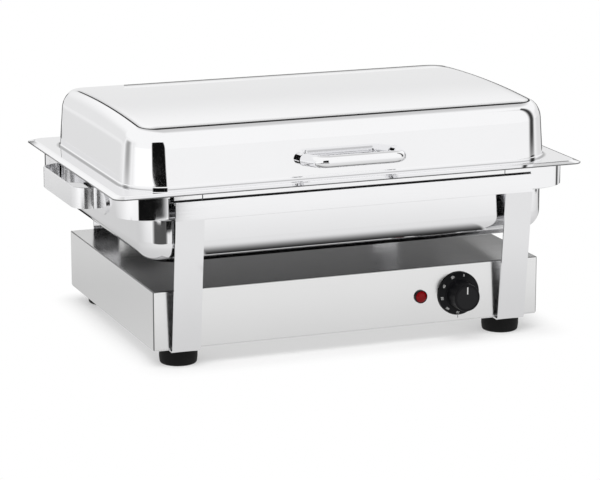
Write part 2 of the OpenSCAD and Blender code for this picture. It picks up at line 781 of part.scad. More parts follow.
// Rings of the tub's rounded bottom edge, pulled in by t from the outside
function tub_edge(t) = [
    for (i = [0:fillet_steps])
        let (a = 90 * i / fillet_steps, d = pan_fillet * (1 - sin(a)))
        [tub_x - t - d, tub_y - t - d, tub_floor_r + (tub_r - t - tub_floor_r) * sin(a),
         pan_floor + t + pan_fillet * (1 - cos(a)), 0]
];

module water_pan() color(steel) placed() {
    t = sheet_t;
    outer = concat(tub_edge(0), [
        [tub_x, tub_y, tub_r, band_z, 0],
        [band_x, band_y, band_r, band_z + 2, 0],
        [band_x, band_y, band_r, rim_under, 0]
    ]);
    inner = concat(tub_edge(t), [
        [tub_x - t, tub_y - t, tub_r - t, band_z + t, 0],
        [band_x - t, band_y - t, band_r - t, band_z + 2 + t, 0],
        [band_x - t, band_y - t, band_r - t, rim_under, 0]
    ]);
    skin(concat(outer, [for (i = [len(inner) - 1:-1:0]) inner[i]]));
}

rim_x = rim_l / 2;
rim_y = rim_w / 2;
rim_r = 14;
border_w = 7;
border_drop = 3;
food_body_x = food_l / 2 - food_flange;
food_body_y = food_w / 2 - food_flange;
food_corner = 34;
opening_gap = 4;
opening_x = food_body_x + opening_gap;
opening_y = food_body_y + opening_gap;
opening_r = food_corner + opening_gap - 10;
rim_lip = 7;

// Height of the sloping border's underside, this far in from the rim's edge
function border_under(inset) = rim_under - border_drop + (border_drop - 1) * inset / border_w;

// Rings of the rim's upper face from the outside in, lowered by t
function rim_face(t) = [
    [rim_x, rim_y, rim_r, rim_z - border_drop - t, 0],
    [rim_x - border_w, rim_y - border_w, rim_r - 2, rim_z - 1 - t, 0],
    [rim_x - border_w - 1, rim_y - border_w - 1, rim_r - 2, rim_z - t, 0],
    [opening_x + 2 + t, opening_y + 2 + t, opening_r + 2 + t, rim_z - t, 0],
    [opening_x + t, opening_y + t, opening_r + t, rim_z - 2 - t / 2, 0],
    [opening_x + t, opening_y + t, opening_r + t, rim_z - rim_lip, 0]
];

module pan_rim() color(steel) placed() difference() {
    top = rim_face(0);
    under = rim_face(sheet_t);
    skin(concat(under, [for (i = [len(top) - 1:-1:0]) top[i]]), loop = true);
    at_hinges() at_bracket_rivets() translate([0, 0, -4]) cylinder(d = bracket_rivet_d + 2 * running, h = 8);
}

// Side handle on the right: grip, two bends and two tabs with round ends
grip_bend = 19;
grip_line = let (y = grip_l / 2 - grip_t / 2, u0 = band_x + grip_t / 2, u1 = band_x + grip_out - grip_t / 2)
    bent_line(
        [[u0, -y - grip_tab + grip_h / 2], [u0, -y], [u1, -y],
         [u1, y], [u0, y], [u0, y + grip_tab - grip_h / 2]],
        [4, grip_bend, grip_bend, 4]
    );
grip_z = rim_under - 36.5;

module side_handle() {
    tab_end = grip_l / 2 - grip_t / 2 + grip_tab - grip_h / 2;
    translate([0, 0, grip_z]) linear_extrude(grip_h) strip_outline(grip_line, grip_t);
    for (s = [-1, 1]) translate([band_x, s * tab_end, grip_z + grip_h / 2]) rotate([0, 90, 0])
        cylinder(d = grip_h, h = grip_t);
}

module left_handle() color(steel) placed() mirror([1, 0, 0]) side_handle();

module right_handle() color(steel) placed() side_handle();

// Lid, as rings that follow its profile from the lip to the crease
lid_x = lid_l / 2;
lid_y = lid_w / 2;
lip_r = 54;
lip_h = 2.6;
ledge_w = 0.8;
ledge_h = 3;
foot_in = 1.2;
foot_up = 3.4;
crease_r = 20;
shoulder_end = 75;
shoulder_steps = 5;
wall_top_in = foot_in + lid_wall_h * tan(lid_draft);
wall_top_up = foot_up + lid_wall_h;
crease_in = wall_top_in + shoulder_r * (cos(lid_draft) - cos(shoulder_end));
crease_up = wall_top_up + shoulder_r * (sin(shoulder_end) - sin(lid_draft));

function lid_ring(inset, up, arch = 0) =
    [lid_x - inset, lid_y - inset, lip_r - (lip_r - crease_r) * inset / crease_in, rim_z + up, arch];

// Rings of the shoulder, drawn in by t
function shoulder(t) = [
    for (i = [0:shoulder_steps])
        let (a = lid_draft + (shoulder_end - lid_draft) * i / shoulder_steps)
        lid_ring(
            wall_top_in + shoulder_r * cos(lid_draft) - (shoulder_r - t) * cos(a),
            wall_top_up - shoulder_r * sin(lid_draft) + (shoulder_r - t) * sin(a),
            lid_crown * i / shoulder_steps
        )
];

// Places pieces on the lid's front or rear wall at a height, drawn along +Z out of the wall
function wall_up(z) = (z - rim_z - foot_up) / cos(lid_draft);

module on_lid_wall(z) translate([0, foot_in - lid_y, rim_z + foot_up]) rotate([90 - lid_draft, 0, 0])
    translate([0, wall_up(z), 0]) children();

module on_rear_wall(z) rotate([0, 0, 180]) on_lid_wall(z) children();

handle_z = rim_z + 24;
handle_screw_d = 5;
hinge_y = lid_y + 10;
hinge_z = rim_z + 7.5;
knuckle_d = pin_d + 4;
leaf_t = 2;
leaf_l = 50;
leaf_h = 24;
leaf_rivet_d = 4;
leaf_rivet_z = hinge_z + 14;
leaf_rivet_x = 17;

// The middle of the whole depth, from the handle's bar to the gland's end
handle_wall_y = lid_y - foot_in - (handle_z - rim_z - foot_up) * tan(lid_draft);
front_reach = handle_wall_y + handle_out * cos(lid_draft) + handle_d / 2;
rear_reach = wall_y + gland_hex_l + gland_cap_l;
centre_y = (front_reach - rear_reach) / 2;

module at_hinges() for (s = [-1, 1]) translate([s * hinge_x, 0, 0]) children();

module at_leaf_rivets() for (s = [-1, 1], r = [-1, 1])
    on_rear_wall(leaf_rivet_z) translate([s * hinge_x + r * leaf_rivet_x, 0, 0]) children();

module lid_shell() color(steel) placed() difference() {
    t = sheet_t;
    outer = concat([
        lid_ring(0, 0), lid_ring(0, lip_h), lid_ring(ledge_w, ledge_h), lid_ring(foot_in, foot_up)
    ], shoulder(0));
    inner = concat([
        lid_ring(t, 0), lid_ring(t, lip_h - t), lid_ring(ledge_w + t, ledge_h - t),
        lid_ring(foot_in + t, foot_up)
    ], shoulder(t));
    skin(concat([for (i = [len(inner) - 1:-1:0]) inner[i]], outer));
    for (s = [-1, 1]) on_lid_wall(handle_z) translate([s * handle_span / 2, 0, -4])
        cylinder(d = handle_screw_d + 2 * play, h = 8);
    at_leaf_rivets() translate([0, 0, -4]) cylinder(d = leaf_rivet_d + 2 * running, h = 8);
}

// Tube handle in the plane of the wall's normal: bar, two bends, two splayed legs
spacer_l = 8;
spacer_d = handle_d - 0.5;
handle_bend = 14;
handle_sides = 24;
leg_run = handle_out - spacer_l;
leg_tail = (handle_span - handle_bar) / 2 / leg_run * handle_d;
handle_line = let (x = handle_span / 2 + leg_tail, y = spacer_l - handle_d)
    bent_line(
        [[-x, y], [-handle_bar / 2, handle_out], [handle_bar / 2, handle_out], [x, y]],
        [handle_bend, handle_bend]
    );

module handle_tube() difference() {
    wire([for (p = handle_line) [p[0], p[1], 0]], handle_d / 2, handle_sides);
    translate([-handle_span, spacer_l - 2 * handle_d, -handle_d])
        cube([2 * handle_span, 2 * handle_d, 2 * handle_d]);
}

// Turns the handle's plane so that its second axis follows the wall's normal
module on_handle() on_lid_wall(handle_z) rotate([90, 0, 0]) children();

module lid_handle() color(steel) placed() difference() {
    on_handle() handle_tube();
    handle_bores(handle_screw_d + 2 * running, spacer_l + 12);
}

module handle_bores(d, reach) for (s = [-1, 1]) on_lid_wall(handle_z) translate([s * handle_span / 2, 0, 0])
    cylinder(d = d, h = reach);

module handle_spacers() color(steel) placed() for (s = [-1, 1]) on_lid_wall(handle_z)
    translate([s * handle_span / 2, 0, seat]) difference() {
        cylinder(d = spacer_d, h = spacer_l - seat);
        translate([0, 0, -1]) cylinder(d = handle_screw_d + 2 * play, h = spacer_l + 2);
    }

module handle_screws() color(steel) placed() for (s = [-1, 1]) on_lid_wall(handle_z)
    translate([s * handle_span / 2, 0, -sheet_t - seat]) {
        cylinder(d = handle_screw_d, h = sheet_t + seat + spacer_l + 10);
        translate([0, 0, -3]) cylinder(d = 10, h = 3);
    }

// Hinge: bracket on the rim with two outer knuckles, leaf on the lid with the middle one
leaf_knuckle = 16;
bracket_t = 2;
bracket_back = rim_y - border_w - 1.5;
bracket_front = lid_y + 2;
bracket_rivet_y = lid_y + 6;
bracket_ear = 14;
bracket_rivet_x = (hinge_l + bracket_ear) / 2;
bracket_rivet_d = 4;
bracket_l = hinge_l + 2 * bracket_ear;

module knuckle(x0, x1, d) translate([x0, hinge_y, hinge_z]) rotate([0, 90, 0]) cylinder(d = d, h = x1 - x0);

module hinge_brackets() color(steel) placed() at_hinges() difference() {
    side = leaf_knuckle / 2 + hair;
    union() {
        translate([-bracket_l / 2, bracket_front, rim_z])
            cube([bracket_l, bracket_back - bracket_front, bracket_t]);
        for (x0 = [-hinge_l / 2, side]) {
            translate([x0, hinge_y - knuckle_d / 2, rim_z])
                cube([hinge_l / 2 - side, knuckle_d, hinge_z - rim_z]);
            knuckle(x0, x0 + hinge_l / 2 - side, knuckle_d);
        }
    }
    knuckle(-hinge_l, hinge_l, pin_d + 2 * running);
    at_bracket_rivets() translate([0, 0, -1])
        cylinder(d = bracket_rivet_d + 2 * running, h = bracket_t + 2);
}

module at_bracket_rivets() for (s = [-1, 1])
    translate([s * bracket_rivet_x, bracket_rivet_y, rim_z]) children();

module bracket_rivets() color(steel) placed() at_hinges() at_bracket_rivets() {
    translate([0, 0, -sheet_t]) cylinder(d = bracket_rivet_d, h = sheet_t + bracket_t);
    translate([0, 0, -sheet_t - 1.2]) cylinder(d = 6, h = 1.2);
    translate([0, 0, bracket_t]) rotate_extrude()
        polygon([[0, 0], [3, 0], [2.4, 0.9], [1.2, 1.4], [0, 1.5]]);
}

module hinge_pins() color(steel) placed() at_hinges() {
    knuckle(-hinge_l / 2 - hair, hinge_l / 2 + hair, pin_d);
    for (x = [-hinge_l / 2 - hair - 1.5, hinge_l / 2 + hair]) knuckle(x, x + 1.5, pin_d + 2);
}

module hinge_leaves() color(steel) placed() difference() {
    union() {
        at_hinges() knuckle(-leaf_knuckle / 2, leaf_knuckle / 2, knuckle_d);
        at_hinges() translate([-leaf_knuckle / 2, lid_y - foot_in + 0.6, hinge_z - leaf_t / 2])
            cube([leaf_knuckle, hinge_y - lid_y + foot_in - 0.6, leaf_t]);
        for (s = [-1, 1]) on_rear_wall(hinge_z - leaf_t / 2) translate([s * hinge_x - leaf_l / 2, 0, seat])
            cube([leaf_l, leaf_h, leaf_t]);
    }
    at_hinges() knuckle(-hinge_l, hinge_l, pin_d + 2 * running);
    at_leaf_rivets() translate([0, 0, -1]) cylinder(d = leaf_rivet_d + 2 * running, h = leaf_t + 4);
}

module leaf_rivets() color(steel) placed() at_leaf_rivets() {
    translate([0, 0, -sheet_t - seat]) cylinder(d = leaf_rivet_d, h = sheet_t + 3 * seat + leaf_t);
    translate([0, 0, -sheet_t - seat - 1.2]) cylinder(d = 7, h = 1.2);
    translate([0, 0, leaf_t + 2 * seat]) rotate_extrude()
        polygon([[0, 0], [3.6, 0], [2.8, 1], [1.4, 1.6], [0, 1.7]]);
}

// Food pan: trough and flange
food_fillet = 14;
food_draft = 2;

function food_edge(t) = [
    for (i = [0:fillet_steps])
        let (a = 90 * i / fillet_steps, d = food_draft + food_fillet * (1 - sin(a)))
        [food_body_x - t - d, food_body_y - t - d, food_corner - t - d,
         rim_z - food_depth + t + food_fillet * (1 - cos(a)), 0]
];

module food_pan() color(steel) placed() {
    t = sheet_t;
    outer = concat(food_edge(0), [
        [food_body_x - 1, food_body_y - 1, food_corner - 1, rim_z - 2, 0],
        [food_body_x + 2, food_body_y + 2, food_corner + 1, rim_z, 0],
        [food_l / 2, food_w / 2, food_corner + 2, rim_z, 0],
        [food_l / 2, food_w / 2, food_corner + 2, rim_z + t, 0]
    ]);
    inner = concat(food_edge(t), [
        [food_body_x - 1 - t, food_body_y - 1 - t, food_corner - 1 - t, rim_z - 2 + t, 0],
        [food_body_x + 2 - t, food_body_y + 2 - t, food_corner + 1 - t, rim_z + t, 0]
    ]);
    skin(concat(outer, [for (i = [len(inner) - 1:-1:0]) inner[i]]));
}

base_shell();
bottom_cover();
cover_screws();
front_frame();
rear_frame();
rubber_feet();
foot_screws();
foot_nuts();
heat_spreader();
heating_element();
element_clamps();
clamp_screws();
heat_shield();
insulation();
thermostat_body();
thermostat_nut();
thermostat_bulb();
bulb_clips();
lamp_housing();
lamp_lens();
lamp_bulb();
lamp_nut();
terminal_block();
terminal_screws();
earth_stud();
earth_nut();
wiring();
cable_gland();
gland_cap();
gland_seal();
gland_locknut();
thermostat_shaft();
knob_body();
knob_pointer();
water_pan();
pan_rim();
left_handle();
right_handle();
hinge_brackets();
bracket_rivets();
hinge_pins();
food_pan();
lid_shell();
lid_handle();
handle_spacers();
handle_screws();
hinge_leaves();
leaf_rivets();
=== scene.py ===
"""Looks of an electric chafing dish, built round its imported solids."""

import math
from collections import namedtuple

import bmesh
import bpy
from mathutils import Matrix, Vector


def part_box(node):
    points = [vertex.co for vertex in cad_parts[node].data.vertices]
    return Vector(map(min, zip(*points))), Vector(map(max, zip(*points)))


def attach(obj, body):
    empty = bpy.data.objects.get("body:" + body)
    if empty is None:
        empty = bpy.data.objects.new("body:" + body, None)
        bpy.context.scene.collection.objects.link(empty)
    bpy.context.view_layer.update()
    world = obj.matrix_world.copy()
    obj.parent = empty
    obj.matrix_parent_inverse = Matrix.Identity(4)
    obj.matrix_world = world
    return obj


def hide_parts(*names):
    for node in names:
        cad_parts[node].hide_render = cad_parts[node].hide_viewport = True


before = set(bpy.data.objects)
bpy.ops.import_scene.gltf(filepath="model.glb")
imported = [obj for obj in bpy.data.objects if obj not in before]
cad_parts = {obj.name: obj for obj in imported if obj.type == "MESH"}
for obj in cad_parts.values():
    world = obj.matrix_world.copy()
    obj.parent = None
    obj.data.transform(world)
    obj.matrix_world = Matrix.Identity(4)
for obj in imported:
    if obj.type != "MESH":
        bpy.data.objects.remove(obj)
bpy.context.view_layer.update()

bl_info = {
    "name": "Electric chafing dish",
    "version": (1, 0, 0),
    "blender": (4, 5, 0),
    "location": "View3D > Sidebar > Chafing dish",
    "description": "Builds the pressed sheets, controls and finishes of an electric chafing dish",
    "category": "Object",
}

MM = 0.001
BOX_LOW, BOX_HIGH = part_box("base_shell")
LID_LOW, LID_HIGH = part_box("lid_shell")
RIM_LOW, RIM_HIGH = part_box("pan_rim")
PAN_LOW, PAN_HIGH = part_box("water_pan")
FOOD_LOW, FOOD_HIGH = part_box("food_pan")
FEET_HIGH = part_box("rubber_feet")[1]
KNOB_LOW, KNOB_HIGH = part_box("knob_body")
LENS_LOW, LENS_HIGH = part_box("lamp_lens")
FRONT_LOW, FRONT_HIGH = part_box("front_frame")
REAR_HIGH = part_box("rear_frame")[1]
GRIP_LOW, GRIP_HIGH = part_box("right_handle")
MID_Y = (BOX_LOW.y + BOX_HIGH.y) / 2
RIM_TOP = RIM_HIGH.z
DECK = BOX_HIGH.z
PANEL_Y = BOX_LOW.y

# Steps round a ring's corner and along its end
CORNER_STEPS = 16
END_STEPS = 16
# Points closer than this become one, on a new skin and where a tube is cut
SAME_PLACE = 1e-7
CUT_WELD = 0.02 * MM
# Smallest radius or half height that a skin is drawn with
LEAST = 0.2 * MM


def length(name, millimetres, text):
    """A length property whose default is given in millimetres."""
    return bpy.props.FloatProperty(
        name=name, description=text, default=millimetres * MM, unit="LENGTH", precision=5)


def angle(name, degrees, text):
    """An angle property whose default is given in degrees."""
    return bpy.props.FloatProperty(
        name=name, description=text, default=math.radians(degrees), subtype="ANGLE")


def share(name, value, text):
    """A plain number from 0 to 1."""
    return bpy.props.FloatProperty(
        name=name, description=text, default=value, min=0, max=1, subtype="FACTOR")


def colour(name, value, text):
    """A colour property."""
    return bpy.props.FloatVectorProperty(
        name=name, description=text, default=value, size=3, min=0, max=1, subtype="COLOR")


class SheetSizes(bpy.types.PropertyGroup):
    """Sheet metal of the box and the frames"""
    box_sheet: length("Box sheet", 1.2, "Thickness of the base box's sheet")
    box_bend: length("Box bend", 1.6, "Outer radius of the folds round the deck")
    under_bend: length("Under bend", 1.44, "Outer radius of the folds under the box")
    box_corner: length("Box corner", 1.2, "Rounding of the box's upright corners")
    deck_edge: length("Deck edge", 30, "Width of the ring of faces round the deck")
    flange: length("Flange", 44, "Width of the flanges turned in under the box")
    strip: length("Strip", 2, "Thickness of the frame strip")
    leg: length("Leg", 36, "Width of a leg")
    leg_start: length("Leg start", 0.5, "Upright stretch of the strip above a leg's lean")
    foot_bend: length("Foot bend", 3, "Radius of the bend between a leg and its foot plate")
    rail: length("Rail", 23, "Height of the rail")
    tongue_rise: length("Tongue rise", 6.96, "Height of the tongue's edge above the rail")
    tongue: length("Tongue", 1.5, "Thickness of the support tongue")
    tongue_slot: length("Tongue slot", 0.9, "Slot in the tongue at the inner edge of a leg")
    tongue_bend: length("Tongue bend", 1.2, "Radius of the tongue's bend")
    tongue_edge: length("Tongue edge", 0.2, "Rounding of the tongue's cut edges")
    web_drop: length("Web drop", 5, "Depth of the tongue's web below the rail's top")
    groove: length("Groove", 3.8, "Groove between the rail and the tongue")
    leg_gap: length("Leg gap", 6.4, "Gap between a leg's foot and the box")
    plate_end: length("Plate end", 56, "Reach of a foot plate under the box")
    rear_frame: length("Rear frame", 436, "Length of the rear frame over its legs")
    edge: length("Edge", 0.3, "Rounding of a cut edge")


class LidSizes(bpy.types.PropertyGroup):
    """Pressed lid"""
    sheet: length("Sheet", 1, "Thickness of the lid's sheet")
    lip_corner: length("Lip corner", 54, "Corner radius of the lip in plan")
    crease_corner: length("Crease corner", 20, "Corner radius of the top in plan")
    inner_corner: length("Inner corner", 2, "Smallest corner radius inside the crease")
    lip: length("Lip", 2.6, "Height of the lip")
    lip_bend: length("Lip bend", 0.6, "Rounding of the lip's upper edge")
    foot_in: length("Wall foot inset", 1.2, "Inset of the wall's foot")
    foot_up: length("Wall foot height", 3.4, "Height of the wall's foot")
    foot_bend: length("Wall foot bend", 1, "Rounding of the wall's foot")
    wall: length("Wall", 44.5, "Height of the straight wall")
    draft: angle("Draft", 4.5, "Lean of the wall")
    shoulder: length("Shoulder", 25, "Radius of the shoulder")
    shoulder_end: angle("Shoulder end", 75, "Slope where the shoulder meets the crease")
    crease_start: angle("Crease start", 66, "Slope of the shoulder where the crease's rounding starts")
    crease_reach: length("Crease reach", 15, "Reach of the crease's rounding over the top")
    crown: length("Crown", 5.5, "Rise of the crowned top")


class PanSizes(bpy.types.PropertyGroup):
    """Water pan, its rim and the food pan"""
    sheet: length("Sheet", 1, "Thickness of the pans' sheet")
    edge: length("Edge", 0.25, "Rounding of a cut edge")
    band_corner: length("Band corner", 40, "Corner radius of the band")
    band: length("Band", 34, "Height of the band")
    end_step: length("End step", 27.5, "Step from the band in to the tub at each end")
    side_step: length("Side step", 2, "Step from the band in to the tub at the front and rear")
    ledge: length("Ledge", 2, "Rise of the ledge between the tub and the band")
    ledge_inner: length("Ledge inner bend", 1, "Rounding of the ledge's inner edge")
    ledge_outer: length("Ledge outer bend", 1.2, "Rounding of the ledge's outer edge")
    wall_start: length("Wall start", 2, "Height of the tub's wall above its fillet where a new ring starts")
    floor_corner: length("Floor corner", 24, "Corner radius of the tub's floor")
    fillet: length("Fillet", 28, "Rounding of the tub's bottom edge")
    rim_corner: length("Rim corner", 14, "Corner radius of the rim")
    border: length("Border", 7, "Width of the rim's sloping border")
    border_drop: length("Border drop", 3, "Drop of the border to the rim's edge")
    border_step: length("Border step", 1, "Width and rise of the step from the border to the flat")
    border_corner: length("Border corner", 2, "How much tighter a corner is inside the border")
    step_low: length("Step foot", 0.6, "Rounding of the step's foot")
    step_high: length("Step edge", 1, "Rounding of the step's edge")
    flat_start: length("Flat start", 3, "Distance from the border where the flat's corners start to widen")
    rim_lip: length("Rim lip", 7, "Depth of the lip round the opening")
    lip_bend: length("Lip bend", 2, "Radius of the bend from the flat to the lip")
    opening: length("Opening gap", 4, "Gap between the food pan and the opening")
    opening_corner: length("Opening corner", 10, "How much tighter the opening's corners are than the pan's")
    food_flange: length("Food pan flange", 12, "Width of the food pan's flange")
    food_bend: length("Food pan bend", 3, "Radius of the bend from the flange to the wall")
    food_in: length("Food pan wall", 1, "Inset of the food pan's wall from the flange")
    food_draft: length("Food pan draft", 2, "How far the food pan's wall leans in")
    food_floor: length("Food pan floor", 40, "Width of the ring of faces round the food pan's floor")
    food_corner: length("Food pan corner", 34, "Corner radius of the food pan")
    food_flare: length("Food pan flare", 2, "How much wider the flange's corners are")
    food_taper: share("Food pan taper", 0.6, "How fast the corners tighten inward")
    food_least: length("Food pan floor corner", 8, "Corner radius of the food pan's floor")
    food_fillet: length("Food pan fillet", 14, "Rounding of the food pan's bottom edge")


class HandleSizes(bpy.types.PropertyGroup):
    """Lid handle and side handles"""
    tube: length("Tube", 15, "Diameter of the lid handle's tube")
    tube_edge: length("Tube edge", 0.3, "Rounding of the tube's cut ends")
    out: length("Reach", 39.5, "Distance of the bar from the lid's wall")
    span: length("Span", 124, "Distance between the spacers")
    bar: length("Bar", 102, "Distance between the bar's corners")
    bend: length("Bend", 14, "Radius of the tube's bends")
    spacer: length("Spacer", 8, "Length of a spacer")
    height: length("Height", 24, "Height of the handle above the rim")
    grip_sheet: length("Grip strip", 2.5, "Thickness of the side handles' strip")
    grip_edge: length("Grip edge", 0.35, "Rounding of the strip's cut edges")
    grip: length("Grip", 158, "Length of a side grip over its bends")
    grip_bend: length("Grip bend", 19, "Radius of a side handle's outer bends")
    tab: length("Tab", 47, "Length of a tab on the band")
    tab_bend: length("Tab bend", 4, "Radius of the bend between a tab and the grip")


class ControlSizes(bpy.types.PropertyGroup):
    """Knob, signal lamp and feet"""
    hollow: length("Hollow", 11, "Radius of the hollow in the knob's back")
    hollow_depth: length("Hollow depth", 10, "Depth of the hollow in the knob's back")
    skirt_gap: length("Skirt gap", 1, "Gap between the skirt and the panel")
    skirt: length("Skirt", 5, "Height of the skirt")
    skirt_edge: length("Skirt edge", 2, "Height of the skirt's upright edge")
    cap: length("Cap", 34, "Diameter of the knob's cap")
    cap_foot: length("Cap foot", 3, "Distance from the cap to the skirt's slope")
    cap_draft: length("Cap draft", 1, "How far the cap's side leans in")
    face_border: length("Face border", 3, "Width of the border round the cap's face")
    face_drop: length("Face drop", 0.15, "Depth of the cap's face below its border")
    face_sheet: length("Face sheet", 0.4, "Thickness of the cap's face")
    figure: length("Figure", 4.4, "Height of a dial figure")
    figure_ring: length("Figure ring", 23.6, "Distance of the figures from the knob's axis")
    figure_step: angle("Figure step", 38, "Angle from one figure to the next")
    figure_start: angle("Figure start", -14, "Angle of the first figure from the top")
    figure_lift: length("Figure lift", 0.06, "Lift of the figures above the skirt")
    figure_print: length("Figure print", 0.02, "Half the thickness of the printed figures")
    mark: length("Mark", 3.2, "Length of the panel's index mark")
    mark_width: length("Mark width", 0.7, "Width of the panel's index mark")
    mark_gap: length("Mark gap", 1.2, "Gap between the knob and the index mark")
    mark_print: length("Mark print", 0.05, "Thickness of the printed index mark")
    lens_base: length("Lens base", 1, "Distance of the lens's back from the panel")
    lens_edge: length("Lens edge", 1, "Height of the lens's upright edge")
    foot: length("Foot", 47, "Diameter of a rubber foot")
    foot_taper: length("Foot taper", 1, "How far a foot's side leans in at its bottom")
    foot_taper_up: length("Foot taper height", 8, "Height of a foot's leaning side")
    foot_recess: length("Foot recess", 7.5, "Radius of the recess for the foot's screw")
    foot_recess_up: length("Foot recess depth", 10, "Depth of the recess for the foot's screw")
    foot_hole: length("Foot hole", 3.2, "Radius of the hole for the foot's screw")
    front_foot_x: length("Front feet", 215, "Distance of the front feet from the middle")
    rear_foot_x: length("Rear feet", 212, "Distance of the rear feet from the middle")
    front_foot_in: length("Front feet inset", 24, "Distance of the front feet from the box's front")
    rear_foot_in: length("Rear feet inset", 16, "Distance of the rear feet from the box's rear")


class PaintedShadeSizes(bpy.types.PropertyGroup):
    """Painted shade lines where the sheets fold, crease and meet"""
    # Painted shade line along the box's folds and up its corners, and painted shade on the deck under the pan
    fold: length("Fold", 1.2, "Width of the line along the box's folds")
    deck_face: length("Deck face", 0.15, "Depth of the box's top that counts as the deck")
    deck_shade: share("Deck shade", 0.42, "Shade of the deck under the pan")
    # The crease line and the soft shade above it are a painted reflection and a painted shade on the lid's
    # finish
    crease_in: length("Crease inset", 22.6, "Inset of the crease line from the lid's lip")
    shade_far: length("Shade start", 16, "Distance above the crease where the soft shade starts")
    shade_near: length("Shade end", 3.5, "Distance above the crease where the soft shade is deepest")
    shade: share("Shade", 0.3, "Depth of the soft shade")
    line_top: length("Line top", 4.8, "Distance above the crease where its line starts")
    line_full: length("Line full", 2.6, "Distance above the crease where its line is darkest")
    line_low: length("Line low", 1.4, "Distance below the crease where its line starts to fade")
    line_end: length("Line end", 2.4, "Distance below the crease where its line is gone")
    thin: bpy.props.FloatProperty(
        name="Thin", description="How many times thinner the crease line is at the lid's ends", default=2.4)
    thin_start: length("Thin start", 20, "Distance from the lid's ends where the line starts to thin")
    thin_end: length("Thin end", 5, "Distance from the lid's ends where the line is thinnest")
    rear_fade: length("Rear fade", 115, "Place along Y where the crease line starts to fade")
    rear_end: length("Rear end", 135, "Place along Y where the crease line is gone")
    top_depth: length("Top depth", 14, "Depth of the lid's top that holds the crease line")
    # Painted shadow in the mouth of the groove between each rail and its tongue
    groove_in: length("Groove inset", 3, "Inset of a groove's mouth from the rail's face")
    groove_low: length("Groove low", 1, "Reach of a groove's dark mouth below the rail's top")
    groove_high: length("Groove high", 1.7, "Reach of a groove's dark mouth above the rail's top")
    # Painted shadow under the rim's cut edge, and painted contact shade along the lid's lip that also covers
    # all of the rim inside it
    edge_high: length("Edge high", 0.3, "Reach of the rim's edge line above the border's edge")
    edge_low: length("Edge low", 1.5, "Reach of the rim's edge line below the border's edge")
    lip_near: length("Lip near", 0.5, "Distance from the lid's lip where its line on the rim starts to fade")
    lip_far: length("Lip far", 5, "Distance from the lid's lip where its line on the rim is gone")
    lip_shade: share("Lip shade", 0.8, "Depth of the line along the lid's lip")


class Finishes(bpy.types.PropertyGroup):
    """Colours and polish"""
    polished: colour("Polished steel", (0.89, 0.89, 0.90), "Mirror-polished sheet")
    satin: colour("Satin steel", (0.90, 0.90, 0.90), "Satin sheet of the box")
    bright: colour("Bright strip", (0.90, 0.90, 0.91), "Lightly brushed strip and pressings")
    plain: colour("Plain steel", (0.66, 0.66, 0.67), "Screws, rivets and hinges")
    alloy: colour("Aluminium", (0.74, 0.75, 0.76), "Heater plate and shield")
    sheath: colour("Heater sheath", (0.16, 0.15, 0.15), "Heat-darkened element")
    brass: colour("Brass", (0.74, 0.55, 0.24), "Terminals, bulb and nuts")
    plastic: colour("Black plastic", (0.006, 0.006, 0.007), "Knob, lamp and gland")
    cap_face: colour("Cap face", (0.013, 0.013, 0.014), "Turned face of the knob's cap")
    rubber: colour("Rubber", (0.006, 0.006, 0.006), "Feet and seal")
    lens: colour("Lamp lens", (0.20, 0.001, 0.003), "Red lens")
    glass: colour("Bulb glass", (0.95, 0.88, 0.80), "Tube of the lamp's bulb")
    white: colour("Print white", (0.62, 0.62, 0.61), "Pointer and figures")
    ivory: colour("Ivory", (0.72, 0.70, 0.62), "Terminal block")
    fibre: colour("Fibre", (0.72, 0.70, 0.63), "Insulation mat")
    sleeve: colour("Sleeve", (0.55, 0.50, 0.38), "Lead sleeves")
    # The colour of the painted shade lines along the box's folds, the lid's crease, the rails' grooves and
    # the rim
    line: colour("Line", (0.02, 0.02, 0.02), "Dark lines where the sheets fold, crease and meet")
    polished_rough: share("Polish", 0.045, "Roughness of the polished steel")
    satin_rough: share("Satin", 0.17, "Roughness of the satin steel")
    bright_rough: share("Bright", 0.12, "Roughness of the bright strip")
    pressed_rough: share("Pressed", 0.16, "Roughness of the food pan and the side handles")
    plain_rough: share("Plain", 0.24, "Roughness of screws, rivets and hinges")
    alloy_rough: share("Milled", 0.33, "Roughness of the aluminium")
    sheath_rough: share("Sheathed", 0.45, "Roughness of the heating element")
    brass_rough: share("Turned brass", 0.25, "Roughness of the brass")


